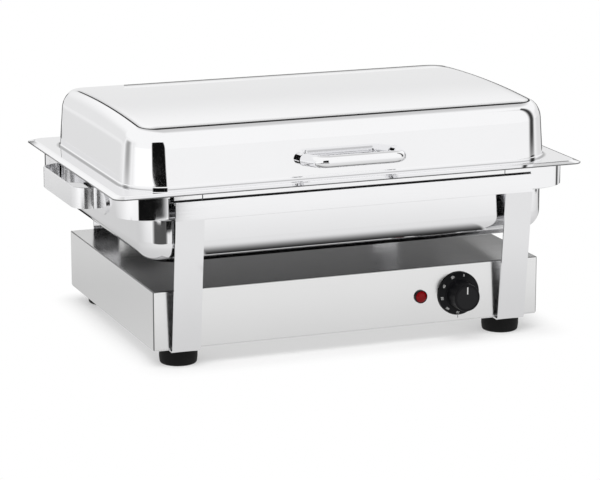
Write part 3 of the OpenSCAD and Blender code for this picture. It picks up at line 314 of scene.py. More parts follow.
class StudioSetup(bpy.types.PropertyGroup):
    """Camera, light and floor"""
    camera_place: bpy.props.FloatVectorProperty(
        name="Camera", description="Place of the camera", size=3, unit="LENGTH",
        default=(-1.21616, -3.15183, 0.90345))
    camera_down: angle("Camera tilt", 13.346, "Tilt of the camera below the horizon")
    camera_turn: angle("Camera turn", -21.069, "Turn of the camera from straight ahead")
    lens: bpy.props.FloatProperty(
        name="Lens", description="Focal length in millimetres on a 36 mm sensor", default=162.545)
    key_power: bpy.props.FloatProperty(
        name="Key light", description="Power of the soft overhead light", default=70, unit="POWER")
    key_place: bpy.props.FloatVectorProperty(
        name="Key place", description="Place of the soft overhead light", size=3, unit="LENGTH",
        default=(-0.7, -1.6, 3.0))
    key_size: bpy.props.FloatVectorProperty(
        name="Key size", description="Length and width of the soft overhead light", size=2, unit="LENGTH",
        default=(2.6, 2.2))
    ambient: share("Ambient", 0.55, "Light from all round on matt surfaces")
    floor: share("Floor", 0.92, "Paleness of the floor")
    # As metal shows it, the floor carries a painted shadow near the box and behind the dish
    floor_back: share("Floor behind", 0.80, "Paleness of the floor behind the dish, as metal shows it")
    floor_near: share("Floor near", 0.74, "Paleness of the floor beside the box, as metal shows it")
    floor_middle: share("Floor middle", 0.84, "Paleness of the floor further off, as metal shows it")
    shadow: share("Shadow", 0.6, "Strength of the floor's shadow under the box")
    shadow_shift: length("Shadow shift", 12, "Shift of the shadow to the right")
    shadow_far: length("Shadow far", 52, "Distance from the box where the floor is plain white")
    horizon: share("Horizon", 0.82, "Paleness of the studio near the horizon, as metal shows it")
    ceiling: share("Rear ceiling", 0.68, "Paleness of the studio high up behind the dish, as metal shows it")


def halves(low, high):
    """Half the length and half the width of a box."""
    return (high.x - low.x) / 2, (high.y - low.y) / 2


def front_middle(low, high):
    """The middle of a box as it is seen from the front."""
    return (low.x + high.x) / 2, (low.z + high.z) / 2


def rounded_line(points, radii, steps=6):
    """A line through points in a plane, with its inner corners rounded to the given radii."""
    line = [Vector(points[0])]
    for before, corner, after, radius in zip(points, points[1:], points[2:], radii):
        corner = Vector(corner)
        back = (Vector(before) - corner).normalized()
        ahead = (Vector(after) - corner).normalized()
        half = back.angle(ahead) / 2
        middle = corner + (back + ahead).normalized() * radius / math.sin(half)
        start = corner + back * radius / math.tan(half) - middle
        end = corner + ahead * radius / math.tan(half) - middle
        first = math.atan2(start.y, start.x)
        turn = (math.atan2(end.y, end.x) - first + math.pi) % math.tau - math.pi
        for step in range(steps + 1):
            now = first + turn * step / steps
            line.append(middle + radius * Vector((math.cos(now), math.sin(now))))
    line.append(Vector(points[-1]))
    return line


def rounded_ring(half_x, half_y, radius, z, arch=0.0):
    """Points round a rectangle with round corners, whose two ends may rise in an arch."""
    flat = []
    for quarter, (side_x, side_y) in enumerate(((1, -1), (1, 1), (-1, 1), (-1, -1))):
        middle_x = side_x * (half_x - radius)
        middle_y = side_y * (half_y - radius)
        for step in range(CORNER_STEPS + 1):
            now = math.radians(90) * (quarter - 1 + step / CORNER_STEPS)
            flat.append((middle_x + radius * math.cos(now), middle_y + radius * math.sin(now)))
        if quarter in (0, 2):
            for step in range(1, END_STEPS):
                flat.append((side_x * half_x, middle_y * (1 - 2 * step / END_STEPS)))
    return [Vector((x, MID_Y + y, z + arch * (1 - (y / half_y) ** 2))) for x, y in flat]


def added(name, data):
    """A new object of the scene."""
    thing = bpy.data.objects.new(name, data)
    bpy.context.scene.collection.objects.link(thing)
    return thing


def rework(mesh, work):
    """Works on a mesh's points and faces, then turns the faces outward."""
    form = bmesh.new()
    form.from_mesh(mesh)
    work(form)
    bmesh.ops.recalc_face_normals(form, faces=form.faces)
    form.to_mesh(mesh)
    form.free()


def new_piece(name, points, faces):
    """A mesh object with its faces turned outward."""
    mesh = bpy.data.meshes.new(name)
    mesh.from_pydata(points, [], faces)
    rework(mesh, lambda form: bmesh.ops.remove_doubles(form, verts=form.verts, dist=SAME_PLACE))
    return added(name, mesh)


def strips(first, count):
    """Faces that close a ring with strips from its left end to its right end."""
    last = first + count - 1
    return [(first + k, first + k + 1, last - k - 1, last - k) for k in range(count // 2 - 1)]


def loft(name, rings, close_first=False, close_last=False):
    """A skin through rings that have the same number of points."""
    count = len(rings[0])
    faces = []
    for k in range(len(rings) - 1):
        a = k * count
        b = a + count
        for i in range(count):
            j = (i + 1) % count
            faces.append((a + i, a + j, b + j, b + i))
    if close_first:
        faces += strips(0, count)
    if close_last:
        faces += strips((len(rings) - 1) * count, count)
    return new_piece(name, [p for ring in rings for p in ring], faces)


def lathe(name, profile, steps=96):
    """A turned piece from (radius, height) points, along its own Z."""
    rings = []
    for radius, height in profile:
        turns = [math.tau * step / steps for step in range(steps)]
        rings.append([(radius * math.cos(now), radius * math.sin(now), height) for now in turns])
    piece = loft(name, rings)
    rework(piece.data, lambda form: bmesh.ops.dissolve_degenerate(form, edges=form.edges, dist=SAME_PLACE))
    return piece


def thicken(piece, thickness, offset):
    """Gives a skin its sheet thickness; offset -1 is inward, 0 is both ways."""
    sheet = piece.modifiers.new("sheet", "SOLIDIFY")
    sheet.thickness = thickness
    sheet.offset = offset
    sheet.use_even_offset = True


def apply_modifiers(piece):
    """Makes the modified shape the piece's own."""
    graph = bpy.context.evaluated_depsgraph_get()
    piece.data = bpy.data.meshes.new_from_object(piece.evaluated_get(graph))
    piece.modifiers.clear()


def settle(piece, edge=0.0, smooth=35):
    """Rounds sharp edges, evens the shading of flat faces and applies all modifiers."""
    if edge > 0:
        rounding = piece.modifiers.new("edges", "BEVEL")
        rounding.width = edge
        rounding.segments = 2
        rounding.limit_method = "ANGLE"
        rounding.angle_limit = math.radians(40)
    apply_modifiers(piece)
    piece.data.shade_smooth()
    piece.data.set_sharp_from_angle(angle=math.radians(smooth))
    evening = piece.modifiers.new("evening", "WEIGHTED_NORMAL")
    evening.keep_sharp = True
    evening.weight = 80
    apply_modifiers(piece)
    return piece


def join(name, pieces):
    """Joins finished pieces into one piece."""
    form = bmesh.new()
    for piece in pieces:
        piece.data.transform(piece.matrix_world)
        form.from_mesh(piece.data)
    mesh = bpy.data.meshes.new(name)
    form.to_mesh(mesh)
    form.free()
    for piece in pieces:
        bpy.data.objects.remove(piece)
    return added(name, mesh)


def place(piece, body, material, slot, *nodes):
    """Gives a piece its material and body, and hides the solids that it stands for. The slot is not used."""
    piece.data.materials.clear()
    piece.data.materials.append(material)
    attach(piece, body)
    if nodes:
        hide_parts(*nodes)
    return piece


def blank_material(name):
    """A material with its shader, and the shader's node tree."""
    material = bpy.data.materials.new(name)
    material.use_nodes = True
    shader = material.node_tree.nodes["Principled BSDF"]
    return material, shader, material.node_tree


def surface_noise(tree, scale, stretch=(1, 1, 1), detail=3.0):
    """Noise that lies still on the piece, stretched along the axes."""
    where = tree.nodes.new("ShaderNodeTexCoord")
    mapping = tree.nodes.new("ShaderNodeMapping")
    noise = tree.nodes.new("ShaderNodeTexNoise")
    mapping.inputs["Scale"].default_value = stretch
    noise.inputs["Scale"].default_value = scale
    noise.inputs["Detail"].default_value = detail
    tree.links.new(where.outputs["Object"], mapping.inputs["Vector"])
    tree.links.new(mapping.outputs["Vector"], noise.inputs["Vector"])
    return noise.outputs["Fac"]


def mapped(tree, source, low, high, first, last, interpolation):
    """A value mapped from one range to another."""
    node = tree.nodes.new("ShaderNodeMapRange")
    node.interpolation_type = interpolation
    node.inputs["From Min"].default_value = low
    node.inputs["From Max"].default_value = high
    node.inputs["To Min"].default_value = first
    node.inputs["To Max"].default_value = last
    tree.links.new(source, node.inputs["Value"])
    return node.outputs["Result"]


def spread(tree, noise, first, last):
    """The middle range of a noise, mapped to a range of values."""
    return mapped(tree, noise, 0.3, 0.7, first, last, "LINEAR")


def ramped(tree, source, low, high, first, last):
    """A smooth step of a value from one level to another."""
    return mapped(tree, source, low, high, first, last, "SMOOTHSTEP")


def figured(tree, operation, *sources):
    """A sum, difference or other figure of values and plain numbers."""
    node = tree.nodes.new("ShaderNodeMath")
    node.operation = operation
    for socket, source in zip(node.inputs, sources):
        if isinstance(source, float):
            socket.default_value = source
        else:
            tree.links.new(source, socket)
    return node.outputs["Value"]


def product(tree, first, *others):
    """The product of values and plain numbers."""
    for other in others:
        first = figured(tree, "MULTIPLY", first, other)
    return first


def chosen(tree, factor, first, second):
    """The first value where the factor is 0, the second where it is 1."""
    rest = figured(tree, "SUBTRACT", 1.0, factor)
    return figured(tree, "ADD", product(tree, first, rest), product(tree, second, factor))


def axes_of(tree, coordinate):
    """The X, Y and Z of a texture coordinate."""
    where = tree.nodes.new("ShaderNodeTexCoord")
    parts = tree.nodes.new("ShaderNodeSeparateXYZ")
    tree.links.new(where.outputs[coordinate], parts.inputs["Vector"])
    return parts.outputs


def distance(tree, at, middle_x, half_x, half_y, radius):
    """How far a place lies outside a rectangle with round corners, in plan."""
    squares = []
    for axis, middle, half in (("X", middle_x, half_x), ("Y", MID_Y, half_y)):
        off = figured(tree, "ABSOLUTE", figured(tree, "SUBTRACT", at[axis], middle))
        past = figured(tree, "MAXIMUM", figured(tree, "SUBTRACT", off, half - radius), 0.0)
        squares.append(figured(tree, "POWER", past, 2.0))
    return figured(tree, "SUBTRACT", figured(tree, "SQRT", figured(tree, "ADD", *squares)), radius)


def tint(tree, shader, base, noise, depth):
    """Varies the base colour a little with a noise."""
    mix = tree.nodes.new("ShaderNodeMix")
    mix.data_type = "RGBA"
    dark = [c * (1 - depth) for c in base]
    light = [min(1.0, c * (1 + depth)) for c in base]
    mix.inputs["A"].default_value = (*dark, 1)
    mix.inputs["B"].default_value = (*light, 1)
    tree.links.new(noise, mix.inputs["Factor"])
    tree.links.new(mix.outputs["Result"], shader.inputs["Base Color"])


def dent(tree, shader, source, height, after=None):
    """Bumps the surface by a height in metres."""
    bump = tree.nodes.new("ShaderNodeBump")
    bump.inputs["Distance"].default_value = height
    bump.inputs["Strength"].default_value = 1.0
    tree.links.new(source, bump.inputs["Height"])
    if after:
        tree.links.new(after, bump.inputs["Normal"])
    tree.links.new(bump.outputs["Normal"], shader.inputs["Normal"])
    return bump.outputs["Normal"]


def metal(name, base, rough, grain):
    """Steel, brass or alloy: a colour, a polish, brushed grain and slow sheet waves."""
    material, shader, tree = blank_material(name)
    shader.inputs["Metallic"].default_value = 1
    tint(tree, shader, base, surface_noise(tree, 18), 0.012)
    brush = surface_noise(tree, 1, grain.stretch, 2.0)
    tree.links.new(spread(tree, brush, rough - grain.vary, rough + grain.vary), shader.inputs["Roughness"])
    normal = dent(tree, shader, surface_noise(tree, 7, detail=1.0), grain.waves)
    dent(tree, shader, brush, grain.depth, normal)
    return material


def darken(material, base, find, depth, dull):
    """Paints shade on a metal: darkens and dulls it where find, given the tree and the place on the piece,
    makes a mask.
    """
    tree = material.node_tree
    shader = tree.nodes["Principled BSDF"]
    mask = find(tree, axes_of(tree, "Object"))
    darker = tree.nodes.new("ShaderNodeMix")
    darker.data_type = "RGBA"
    darker.inputs["B"].default_value = (*base, 1)
    tree.links.new(product(tree, mask, depth), darker.inputs["Factor"])
    tree.links.new(shader.inputs["Base Color"].links[0].from_socket, darker.inputs["A"])
    tree.links.new(darker.outputs["Result"], shader.inputs["Base Color"])
    if dull > 0:
        polish = shader.inputs["Roughness"].links[0].from_socket
        rough = figured(tree, "MAXIMUM", polish, product(tree, mask, dull))
        tree.links.new(rough, shader.inputs["Roughness"])


def box_fold_painted_shade(tree, at):
    """Painted shade lines along the folds round the deck and up the corners of the base box, and painted
    shade on the deck under the pan.
    """
    lines = bpy.context.scene.chafer_lines
    across = figured(tree, "ABSOLUTE", at["X"])
    along = figured(tree, "ABSOLUTE", figured(tree, "SUBTRACT", at["Y"], MID_Y))
    at_side = figured(tree, "GREATER_THAN", across, BOX_HIGH.x - lines.fold)
    at_front = figured(tree, "GREATER_THAN", along, BOX_HIGH.y - MID_Y - lines.fold)
    high = figured(tree, "GREATER_THAN", at["Z"], DECK - lines.fold)
    deck = figured(tree, "GREATER_THAN", at["Z"], DECK - lines.deck_face)
    corner = product(tree, at_side, at_front)
    fold = figured(tree, "MAXIMUM", corner, figured(tree, "SUBTRACT", high, deck))
    return figured(tree, "MAXIMUM", fold, product(tree, deck, lines.deck_shade))


def painted_crease_shade(tree, at):
    """A painted dark reflection line along the crease round the lid's top, with a soft painted shade on its
    upper side, thin at the ends.
    """
    lines = bpy.context.scene.chafer_lines
    half_x, half_y = halves(LID_LOW, LID_HIGH)
    end = half_x - lines.crease_in
    corner = bpy.context.scene.chafer_lid.crease_corner
    ring = distance(tree, at, 0.0, end, half_y - lines.crease_in, corner)
    across = figured(tree, "ABSOLUTE", at["X"])
    thin = ramped(tree, across, end - lines.thin_start, end - lines.thin_end, 1.0, lines.thin)
    past = product(tree, ring, thin)
    soft = ramped(tree, past, -lines.shade_far, -lines.shade_near, 0.0, lines.shade)
    black = ramped(tree, past, -lines.line_top, -lines.line_full, 0.0, 1.0)
    upper = figured(tree, "MAXIMUM", soft, black)
    lower = ramped(tree, past, lines.line_low, lines.line_end, 1.0, 0.0)
    front = ramped(tree, at["Y"], lines.rear_fade, lines.rear_end, 1.0, 0.0)
    top = figured(tree, "GREATER_THAN", at["Z"], LID_HIGH.z - lines.top_depth)
    return product(tree, upper, lower, front, top)


def painted_groove_shadow(tree, at):
    """Painted shadow in the mouths of the grooves between the rails and their tongues."""
    lines = bpy.context.scene.chafer_lines
    rail_top = FRONT_HIGH.z - bpy.context.scene.chafer_sheet.tongue_rise
    along = figured(tree, "ABSOLUTE", figured(tree, "SUBTRACT", at["Y"], MID_Y))
    inside = figured(tree, "LESS_THAN", along, MID_Y - FRONT_LOW.y - lines.groove_in)
    above = figured(tree, "GREATER_THAN", at["Z"], rail_top - lines.groove_low)
    below = figured(tree, "LESS_THAN", at["Z"], rail_top + lines.groove_high)
    return product(tree, inside, above, below)


def painted_rim_shadow(tree, at):
    """Painted shadow under the cut edge round the pan's rim, and painted contact shade along the lid's lip,
    which also darkens all of the rim inside the lip.
    """
    lines = bpy.context.scene.chafer_lines
    edge = RIM_TOP - bpy.context.scene.chafer_pan.border_drop
    corner = bpy.context.scene.chafer_lid.lip_corner
    lip = distance(tree, at, 0.0, *halves(LID_LOW, LID_HIGH), corner)
    foot = ramped(tree, lip, lines.lip_near, lines.lip_far, lines.lip_shade, 0.0)
    near = figured(tree, "LESS_THAN", at["Z"], edge + lines.edge_high)
    low = figured(tree, "LESS_THAN", at["Z"], edge - lines.edge_low)
    return figured(tree, "MAXIMUM", figured(tree, "SUBTRACT", near, low), foot)


def moulding(name, base, rough, grain_scale, grain_depth, shine):
    """Plastic, rubber or fibre with a fine moulded grain."""
    material, shader, tree = blank_material(name)
    grain = surface_noise(tree, grain_scale, detail=4.0)
    tint(tree, shader, base, surface_noise(tree, 60), 0.08)
    tree.links.new(spread(tree, grain, rough - 0.06, rough + 0.06), shader.inputs["Roughness"])
    shader.inputs["Specular IOR Level"].default_value = shine
    dent(tree, shader, grain, grain_depth)
    return material


def lens_material(name, base):
    """Red moulding, glossy and a little clear."""
    material, shader, tree = blank_material(name)
    tint(tree, shader, base, surface_noise(tree, 160), 0.1)
    shader.inputs["Roughness"].default_value = 0.15
    shader.inputs["Specular IOR Level"].default_value = 0.15
    shader.inputs["Transmission Weight"].default_value = 0.1
    shader.inputs["IOR"].default_value = 1.49
    return material


def glass_material(name, base):
    """Clear tube of the lamp's bulb."""
    material, shader, tree = blank_material(name)
    shader.inputs["Base Color"].default_value = (*base, 1)
    shader.inputs["Transmission Weight"].default_value = 1
    shader.inputs["IOR"].default_value = 1.46
    smear = surface_noise(tree, 300)
    tree.links.new(spread(tree, smear, 0.02, 0.08), shader.inputs["Roughness"])
    return material


# A metal's grain: how much its roughness varies, the grain's stretch, its depth and that of the sheet's waves
Grain = namedtuple("Grain", "vary stretch depth waves")
MIRROR = Grain(0.012, (40, 40, 40), 2e-6, 6e-5)
BRUSHED = Grain(0.03, (12, 900, 900), 6e-6, 2e-4)
STRIP = Grain(0.03, (12, 900, 900), 5e-6, 6e-5)
PRESSED = Grain(0.03, (60, 60, 60), 3e-6, 8e-5)
TURNED = Grain(0.05, (300, 300, 300), 4e-6, 1e-5)
MILLED = Grain(0.06, (12, 900, 900), 8e-6, 4e-5)
SCALED = Grain(0.08, (200, 200, 200), 1e-5, 1e-5)
CAST = Grain(0.06, (240, 240, 240), 5e-6, 1e-5)

# Each metal's name, colour, roughness and grain
METALS = {
    "polished": ("polished_steel", "polished", "polished_rough", MIRROR),
    "edged": ("edged_sheet", "polished", "polished_rough", MIRROR),
    "creased": ("creased_sheet", "polished", "polished_rough", MIRROR),
    "satin": ("satin_steel", "satin", "satin_rough", BRUSHED),
    "folded": ("folded_sheet", "satin", "satin_rough", BRUSHED),
    "grooved": ("grooved_strip", "bright", "bright_rough", STRIP),
    "pressed": ("pressed_steel", "bright", "pressed_rough", PRESSED),
    "plain": ("plain_steel", "plain", "plain_rough", TURNED),
    "alloy": ("mill_aluminium", "alloy", "alloy_rough", MILLED),
    "sheath": ("heater_sheath", "sheath", "sheath_rough", SCALED),
    "brass": ("plain_brass", "brass", "brass_rough", CAST),
}

# The painted shade lines on some of the metals: where they lie, how dark and how dull they are
PAINTED_SHADE_LINES = {
    "folded": (box_fold_painted_shade, 0.8, 0.0),
    "grooved": (painted_groove_shadow, 0.95, 0.0),
    "edged": (painted_rim_shadow, 0.8, 0.0),
    "creased": (painted_crease_shade, 0.97, 1.0),
}

# Each moulding's name, colour, roughness, grain scale, grain depth and shine
MOULDINGS = {
    "plastic": ("black_plastic", "plastic", 0.34, 900, 1.2e-5, 0.12),
    "cap": ("cap_face", "cap_face", 0.46, 1200, 1e-5, 0.12),
    "rubber": ("black_rubber", "rubber", 0.62, 700, 3e-5, 0.15),
    "white": ("print_white", "white", 0.5, 800, 4e-6, 0.5),
    "ivory": ("terminal_moulding", "ivory", 0.45, 600, 1e-5, 0.5),
    "fibre": ("fibre_mat", "fibre", 0.9, 420, 4e-4, 0.5),
    "sleeve": ("lead_sleeve", "sleeve", 0.6, 500, 2e-5, 0.5),
}

# The solids that keep their own shape, by their finish
NODE_FINISH = {
    "plain": [
        "cover_screws", "foot_screws", "foot_nuts", "clamp_screws", "element_clamps", "bulb_clips",
        "hinge_brackets", "bracket_rivets", "hinge_pins", "handle_screws", "hinge_leaves", "leaf_rivets",
        "thermostat_shaft"],
    "satin": ["bottom_cover"],
    "polished": ["handle_spacers"],
    "alloy": ["heat_spreader", "heat_shield"],
    "sheath": ["heating_element"],
    "brass": ["thermostat_nut", "thermostat_bulb", "terminal_screws", "earth_stud", "earth_nut"],
    "plastic": ["thermostat_body", "lamp_housing", "lamp_nut", "cable_gland", "gland_cap", "gland_locknut"],
    "rubber": ["gland_seal"],
    "white": ["knob_pointer"],
    "ivory": ["terminal_block"],
    "fibre": ["insulation"],
    "sleeve": ["wiring"],
    "glass": ["lamp_bulb"],
}

MATERIALS = {}


def make_materials(finishes):
    """All finishes, by their plain names."""
    for finish, (name, base, rough, grain) in METALS.items():
        MATERIALS[finish] = metal(name, getattr(finishes, base), getattr(finishes, rough), grain)
    for finish, (find, depth, dull) in PAINTED_SHADE_LINES.items():
        darken(MATERIALS[finish], finishes.line, find, depth, dull)
    for finish, (name, base, *surface) in MOULDINGS.items():
        MATERIALS[finish] = moulding(name, getattr(finishes, base), *surface)
    MATERIALS["lens"] = lens_material("red_lens", finishes.lens)
    MATERIALS["glass"] = glass_material("lamp_glass", finishes.glass)


class CHAFER_OT_finishes(bpy.types.Operator):
    """Makes the finishes and gives them to the solids that stay as they are"""
    bl_idname = "chafer.finishes"
    bl_label = "Finishes"

    def execute(self, context):
        make_materials(context.scene.chafer_finishes)
        for finish, nodes in NODE_FINISH.items():
            for node in nodes:
                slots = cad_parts[node].data.materials
                slots.clear()
                slots.append(MATERIALS[finish])
        return {"FINISHED"}


class CHAFER_OT_base_box(bpy.types.Operator):
    """Folds the base box: deck, walls and the flanges turned in underneath"""
    bl_idname = "chafer.base_box"
    bl_label = "Base box"

    def execute(self, context):
        sizes = context.scene.chafer_sheet
        half_x, half_y = halves(BOX_LOW, BOX_HIGH)
        fold = rounded_line(
            [(sizes.deck_edge, DECK), (0, DECK), (0, BOX_LOW.z), (sizes.flange, BOX_LOW.z)],
            [sizes.box_bend, sizes.under_bend], 5)
        rings = []
        for inset, z in fold:
            radius = max(sizes.box_corner - inset, LEAST)
            rings.append(rounded_ring(half_x - inset, half_y - inset, radius, z))
        shell = loft("base_box", rings, close_first=True)
        thicken(shell, sizes.box_sheet, -1)
        settle(shell)
        # The box's finish carries painted shade lines along its folds and a painted shade on the deck under
        # the pan
        place(shell, "base", MATERIALS["folded"], "satin_steel", "base_shell")
        self.print_mark(context.scene.chafer_controls)
        return {"FINISHED"}

    def print_mark(self, sizes):
        """The index mark on the panel, under the knob."""
        middle = front_middle(KNOB_LOW, KNOB_HIGH)[0]
        left = middle - sizes.mark_width / 2
        right = middle + sizes.mark_width / 2
        top = KNOB_LOW.z - sizes.mark_gap
        low = top - sizes.mark
        face = PANEL_Y - sizes.mark_print
        outline = [(left, face, low), (right, face, low), (right, face, top), (left, face, top)]
        mark = new_piece("index_mark", outline, [(0, 1, 2, 3)])
        thicken(mark, sizes.mark_print, -1)
        settle(mark)
        place(mark, "base", MATERIALS["plastic"], "black_plastic")


def bent_sheet(name, path, spans):
    """A sheet that follows a (y, z) path; each span is (x from, x to, first station, last station)."""
    points = []
    faces = []
    for x_from, x_to, first, last in spans:
        start = len(points)
        for y, z in path[first:last + 1]:
            points += [(x_from, y, z), (x_to, y, z)]
        for k in range(last - first):
            a = start + 2 * k
            faces.append((a, a + 1, a + 3, a + 2))
    return new_piece(name, points, faces)


def strip_frame(name, sizes, length_over, plate_half, rail_y, toward):
    """Two legs, rail and foot plates of one strip, with the tongue behind the rail."""
    half = sizes.strip / 2
    rail_top = FRONT_HIGH.z - sizes.tongue_rise
    rail_low = rail_top - sizes.rail
    plate_z = FRONT_LOW.z + half
    wall_y = PANEL_Y if toward < 0 else BOX_HIGH.y
    foot_y = wall_y + toward * (sizes.leg_gap + half)
    plate_y = wall_y - toward * sizes.plate_end
    path = [Vector((rail_y, rail_top)), Vector((rail_y, rail_low + sizes.leg_start))]
    path += rounded_line(
        [(rail_y, rail_low), (foot_y, plate_z), (plate_y, plate_z)], [sizes.foot_bend], 6)
    outer = length_over / 2
    inner = outer - sizes.leg
    last = len(path) - 1
    spans = [(-outer, -inner, 0, last), (inner, outer, 0, last), (-inner, inner, 0, 1)]
    if plate_half > outer:
        spans += [(-plate_half, -outer, last - 1, last), (outer, plate_half, last - 1, last)]
    sheet = bent_sheet(name, path, spans)
    thicken(sheet, sizes.strip, 0)
    settle(sheet, sizes.edge)
    web_z = rail_top - sizes.web_drop + sizes.tongue / 2
    rail_back = rail_y - toward * half
    tongue_y = rail_back - toward * (sizes.groove + sizes.tongue / 2)
    hook = rounded_line(
        [(rail_back, web_z), (tongue_y, web_z), (tongue_y, FRONT_HIGH.z)], [sizes.tongue_bend], 5)
    end = inner + sizes.tongue_slot
    last = len(hook) - 1
    tongue = bent_sheet(
        name + "_tongue", hook, [(-outer, -end, 0, last), (-inner, inner, 0, last), (end, outer, 0, last)])
    thicken(tongue, sizes.tongue, 0)
    settle(tongue, sizes.tongue_edge)
    return join(name, [sheet, tongue])


class CHAFER_OT_frames(bpy.types.Operator):
    """Bends the front and rear strip frames"""
    bl_idname = "chafer.frames"
    bl_label = "Frames"

    def execute(self, context):
        sizes = context.scene.chafer_sheet
        half = sizes.strip / 2
        front = strip_frame(
            "front_strip_frame", sizes, FRONT_HIGH.x - FRONT_LOW.x, 0, FRONT_LOW.y + half, -1)
        # The frames' finish carries a painted shadow in the mouths of the grooves behind the rails
        place(front, "base", MATERIALS["grooved"], "frame_steel", "front_frame")
        rear = strip_frame(
            "rear_strip_frame", sizes, sizes.rear_frame, REAR_HIGH.x, REAR_HIGH.y - half, 1)
        place(rear, "base", MATERIALS["grooved"], "frame_steel", "rear_frame")
        return {"FINISHED"}


class CHAFER_OT_feet(bpy.types.Operator):
    """Turns the four rubber feet"""
    bl_idname = "chafer.feet"
    bl_label = "Rubber feet"

    def execute(self, context):
        sizes = context.scene.chafer_controls
        radius = sizes.foot / 2
        recess = sizes.foot_recess
        roof = sizes.foot_recess_up
        top = FEET_HIGH.z
        bends = [bend * MM for bend in (0.8, 2.5, 4, 1.2, 0.4, 0.4)]
        profile = rounded_line(
            [(recess, roof), (recess, 0), (radius - sizes.foot_taper, 0), (radius, sizes.foot_taper_up),
             (radius, top), (sizes.foot_hole, top), (sizes.foot_hole, roof), (recess, roof)],
            bends, 5)
        front_y = PANEL_Y + sizes.front_foot_in
        rear_y = BOX_HIGH.y - sizes.rear_foot_in
        feet = []
        for side_x in (-1, 1):
            for name, x, y in (("front", sizes.front_foot_x, front_y), ("rear", sizes.rear_foot_x, rear_y)):
                foot = lathe(f"foot_{name}_{side_x}", profile)
                foot.data.transform(Matrix.Translation((side_x * x, y, 0)))
                feet.append(settle(foot))
        place(join("rubber_foot_set", feet), "base", MATERIALS["rubber"], "black_rubber", "rubber_feet")
        return {"FINISHED"}


class CHAFER_OT_water_pan(bpy.types.Operator):
    """Presses the water pan and its wide rim"""
    bl_idname = "chafer.water_pan"
    bl_label = "Water pan"

    def execute(self, context):
        sizes = context.scene.chafer_pan
        half_x, half_y = halves(PAN_LOW, PAN_HIGH)
        floor = PAN_LOW.z
        band_z = PAN_HIGH.z - sizes.band
        rings = []
        steps = 16
        for step in range(steps + 1):
            now = math.radians(90) * step / steps
            inset = sizes.fillet * (1 - math.sin(now))
            radius = sizes.floor_corner + (sizes.band_corner - sizes.floor_corner) * math.sin(now)
            z = floor + sizes.fillet * (1 - math.cos(now))
            rings.append(rounded_ring(
                half_x - sizes.end_step - inset, half_y - sizes.side_step - inset, radius, z))
        ledge = rounded_line(
            [(sizes.side_step, floor + sizes.fillet + sizes.wall_start), (sizes.side_step, band_z),
             (0, band_z + sizes.ledge), (0, PAN_HIGH.z)],
            [sizes.ledge_inner, sizes.ledge_outer], 5)
        for inset, z in ledge:
            end_inset = sizes.end_step * inset / sizes.side_step
            rings.append(rounded_ring(half_x - end_inset, half_y - inset, sizes.band_corner, z))
        pan = loft("water_tub", rings, close_first=True)
        thicken(pan, sizes.sheet, -1)
        settle(pan, smooth=50)
        place(pan, "water_bath", MATERIALS["polished"], "polished_steel", "water_pan")
        self.make_rim(sizes)
        return {"FINISHED"}

    def make_rim(self, sizes):
        """The rim: sloping border, flat and the lip round the opening."""
        half_x, half_y = halves(RIM_LOW, RIM_HIGH)
        food_x, food_y = halves(FOOD_LOW, FOOD_HIGH)
        lip_in = half_x - food_x + sizes.food_flange - sizes.opening - sizes.sheet
        wide_in = half_y - food_y + sizes.food_flange - sizes.opening - sizes.sheet
        opening_radius = sizes.food_corner + sizes.opening - sizes.opening_corner
        face = rounded_line(
            [(0, -sizes.border_drop), (sizes.border, -sizes.border_step),
             (sizes.border + sizes.border_step, 0), (lip_in, 0), (lip_in, -sizes.rim_lip)],
            [sizes.step_low, sizes.step_high, sizes.lip_bend], 5)
        flat_end = sizes.border + sizes.flat_start
        rings = []
        for inset, up in face:
            deep = inset if inset < flat_end else inset - lip_in + wide_in
            inward = min(max((inset - flat_end) / (lip_in - flat_end), 0), 1)
            radius = sizes.rim_corner - sizes.border_corner * min(inset / sizes.border, 1)
            radius += (opening_radius - radius) * inward
            rings.append(rounded_ring(half_x - inset, half_y - deep, radius, RIM_TOP + up))
        rim = loft("pan_rim_sheet", rings)
        thicken(rim, sizes.sheet, -1)
        settle(rim, sizes.edge, 50)
        # The rim's finish carries a painted shadow under its cut edge and a painted contact shade inside the
        # lid's lip
        place(rim, "water_bath", MATERIALS["edged"], "polished_steel", "pan_rim")


class CHAFER_OT_food_pan(bpy.types.Operator):
    """Presses the food pan"""
    bl_idname = "chafer.food_pan"
    bl_label = "Food pan"

    def execute(self, context):
        sizes = context.scene.chafer_pan
        half_x, half_y = halves(FOOD_LOW, FOOD_HIGH)
        wall = sizes.food_flange + sizes.food_in
        floor = FOOD_LOW.z + sizes.sheet
        top = FOOD_HIGH.z
        profile = rounded_line(
            [(wall + sizes.food_floor, floor), (wall + sizes.food_draft + sizes.sheet, floor),
             (wall + sizes.sheet, top), (0, top)],
            [sizes.food_fillet, sizes.food_bend], 8)
        rings = []
        for inset, z in profile:
            radius = sizes.food_corner + sizes.food_flare - inset * sizes.food_taper
            rings.append(rounded_ring(half_x - inset, half_y - inset, max(radius, sizes.food_least), z))
        pan = loft("food_tray_sheet", rings, close_first=True)
        thicken(pan, sizes.sheet, -1)
        settle(pan, sizes.edge, 50)
        place(pan, "food_tray", MATERIALS["pressed"], "pressed_steel", "food_pan")
        return {"FINISHED"}


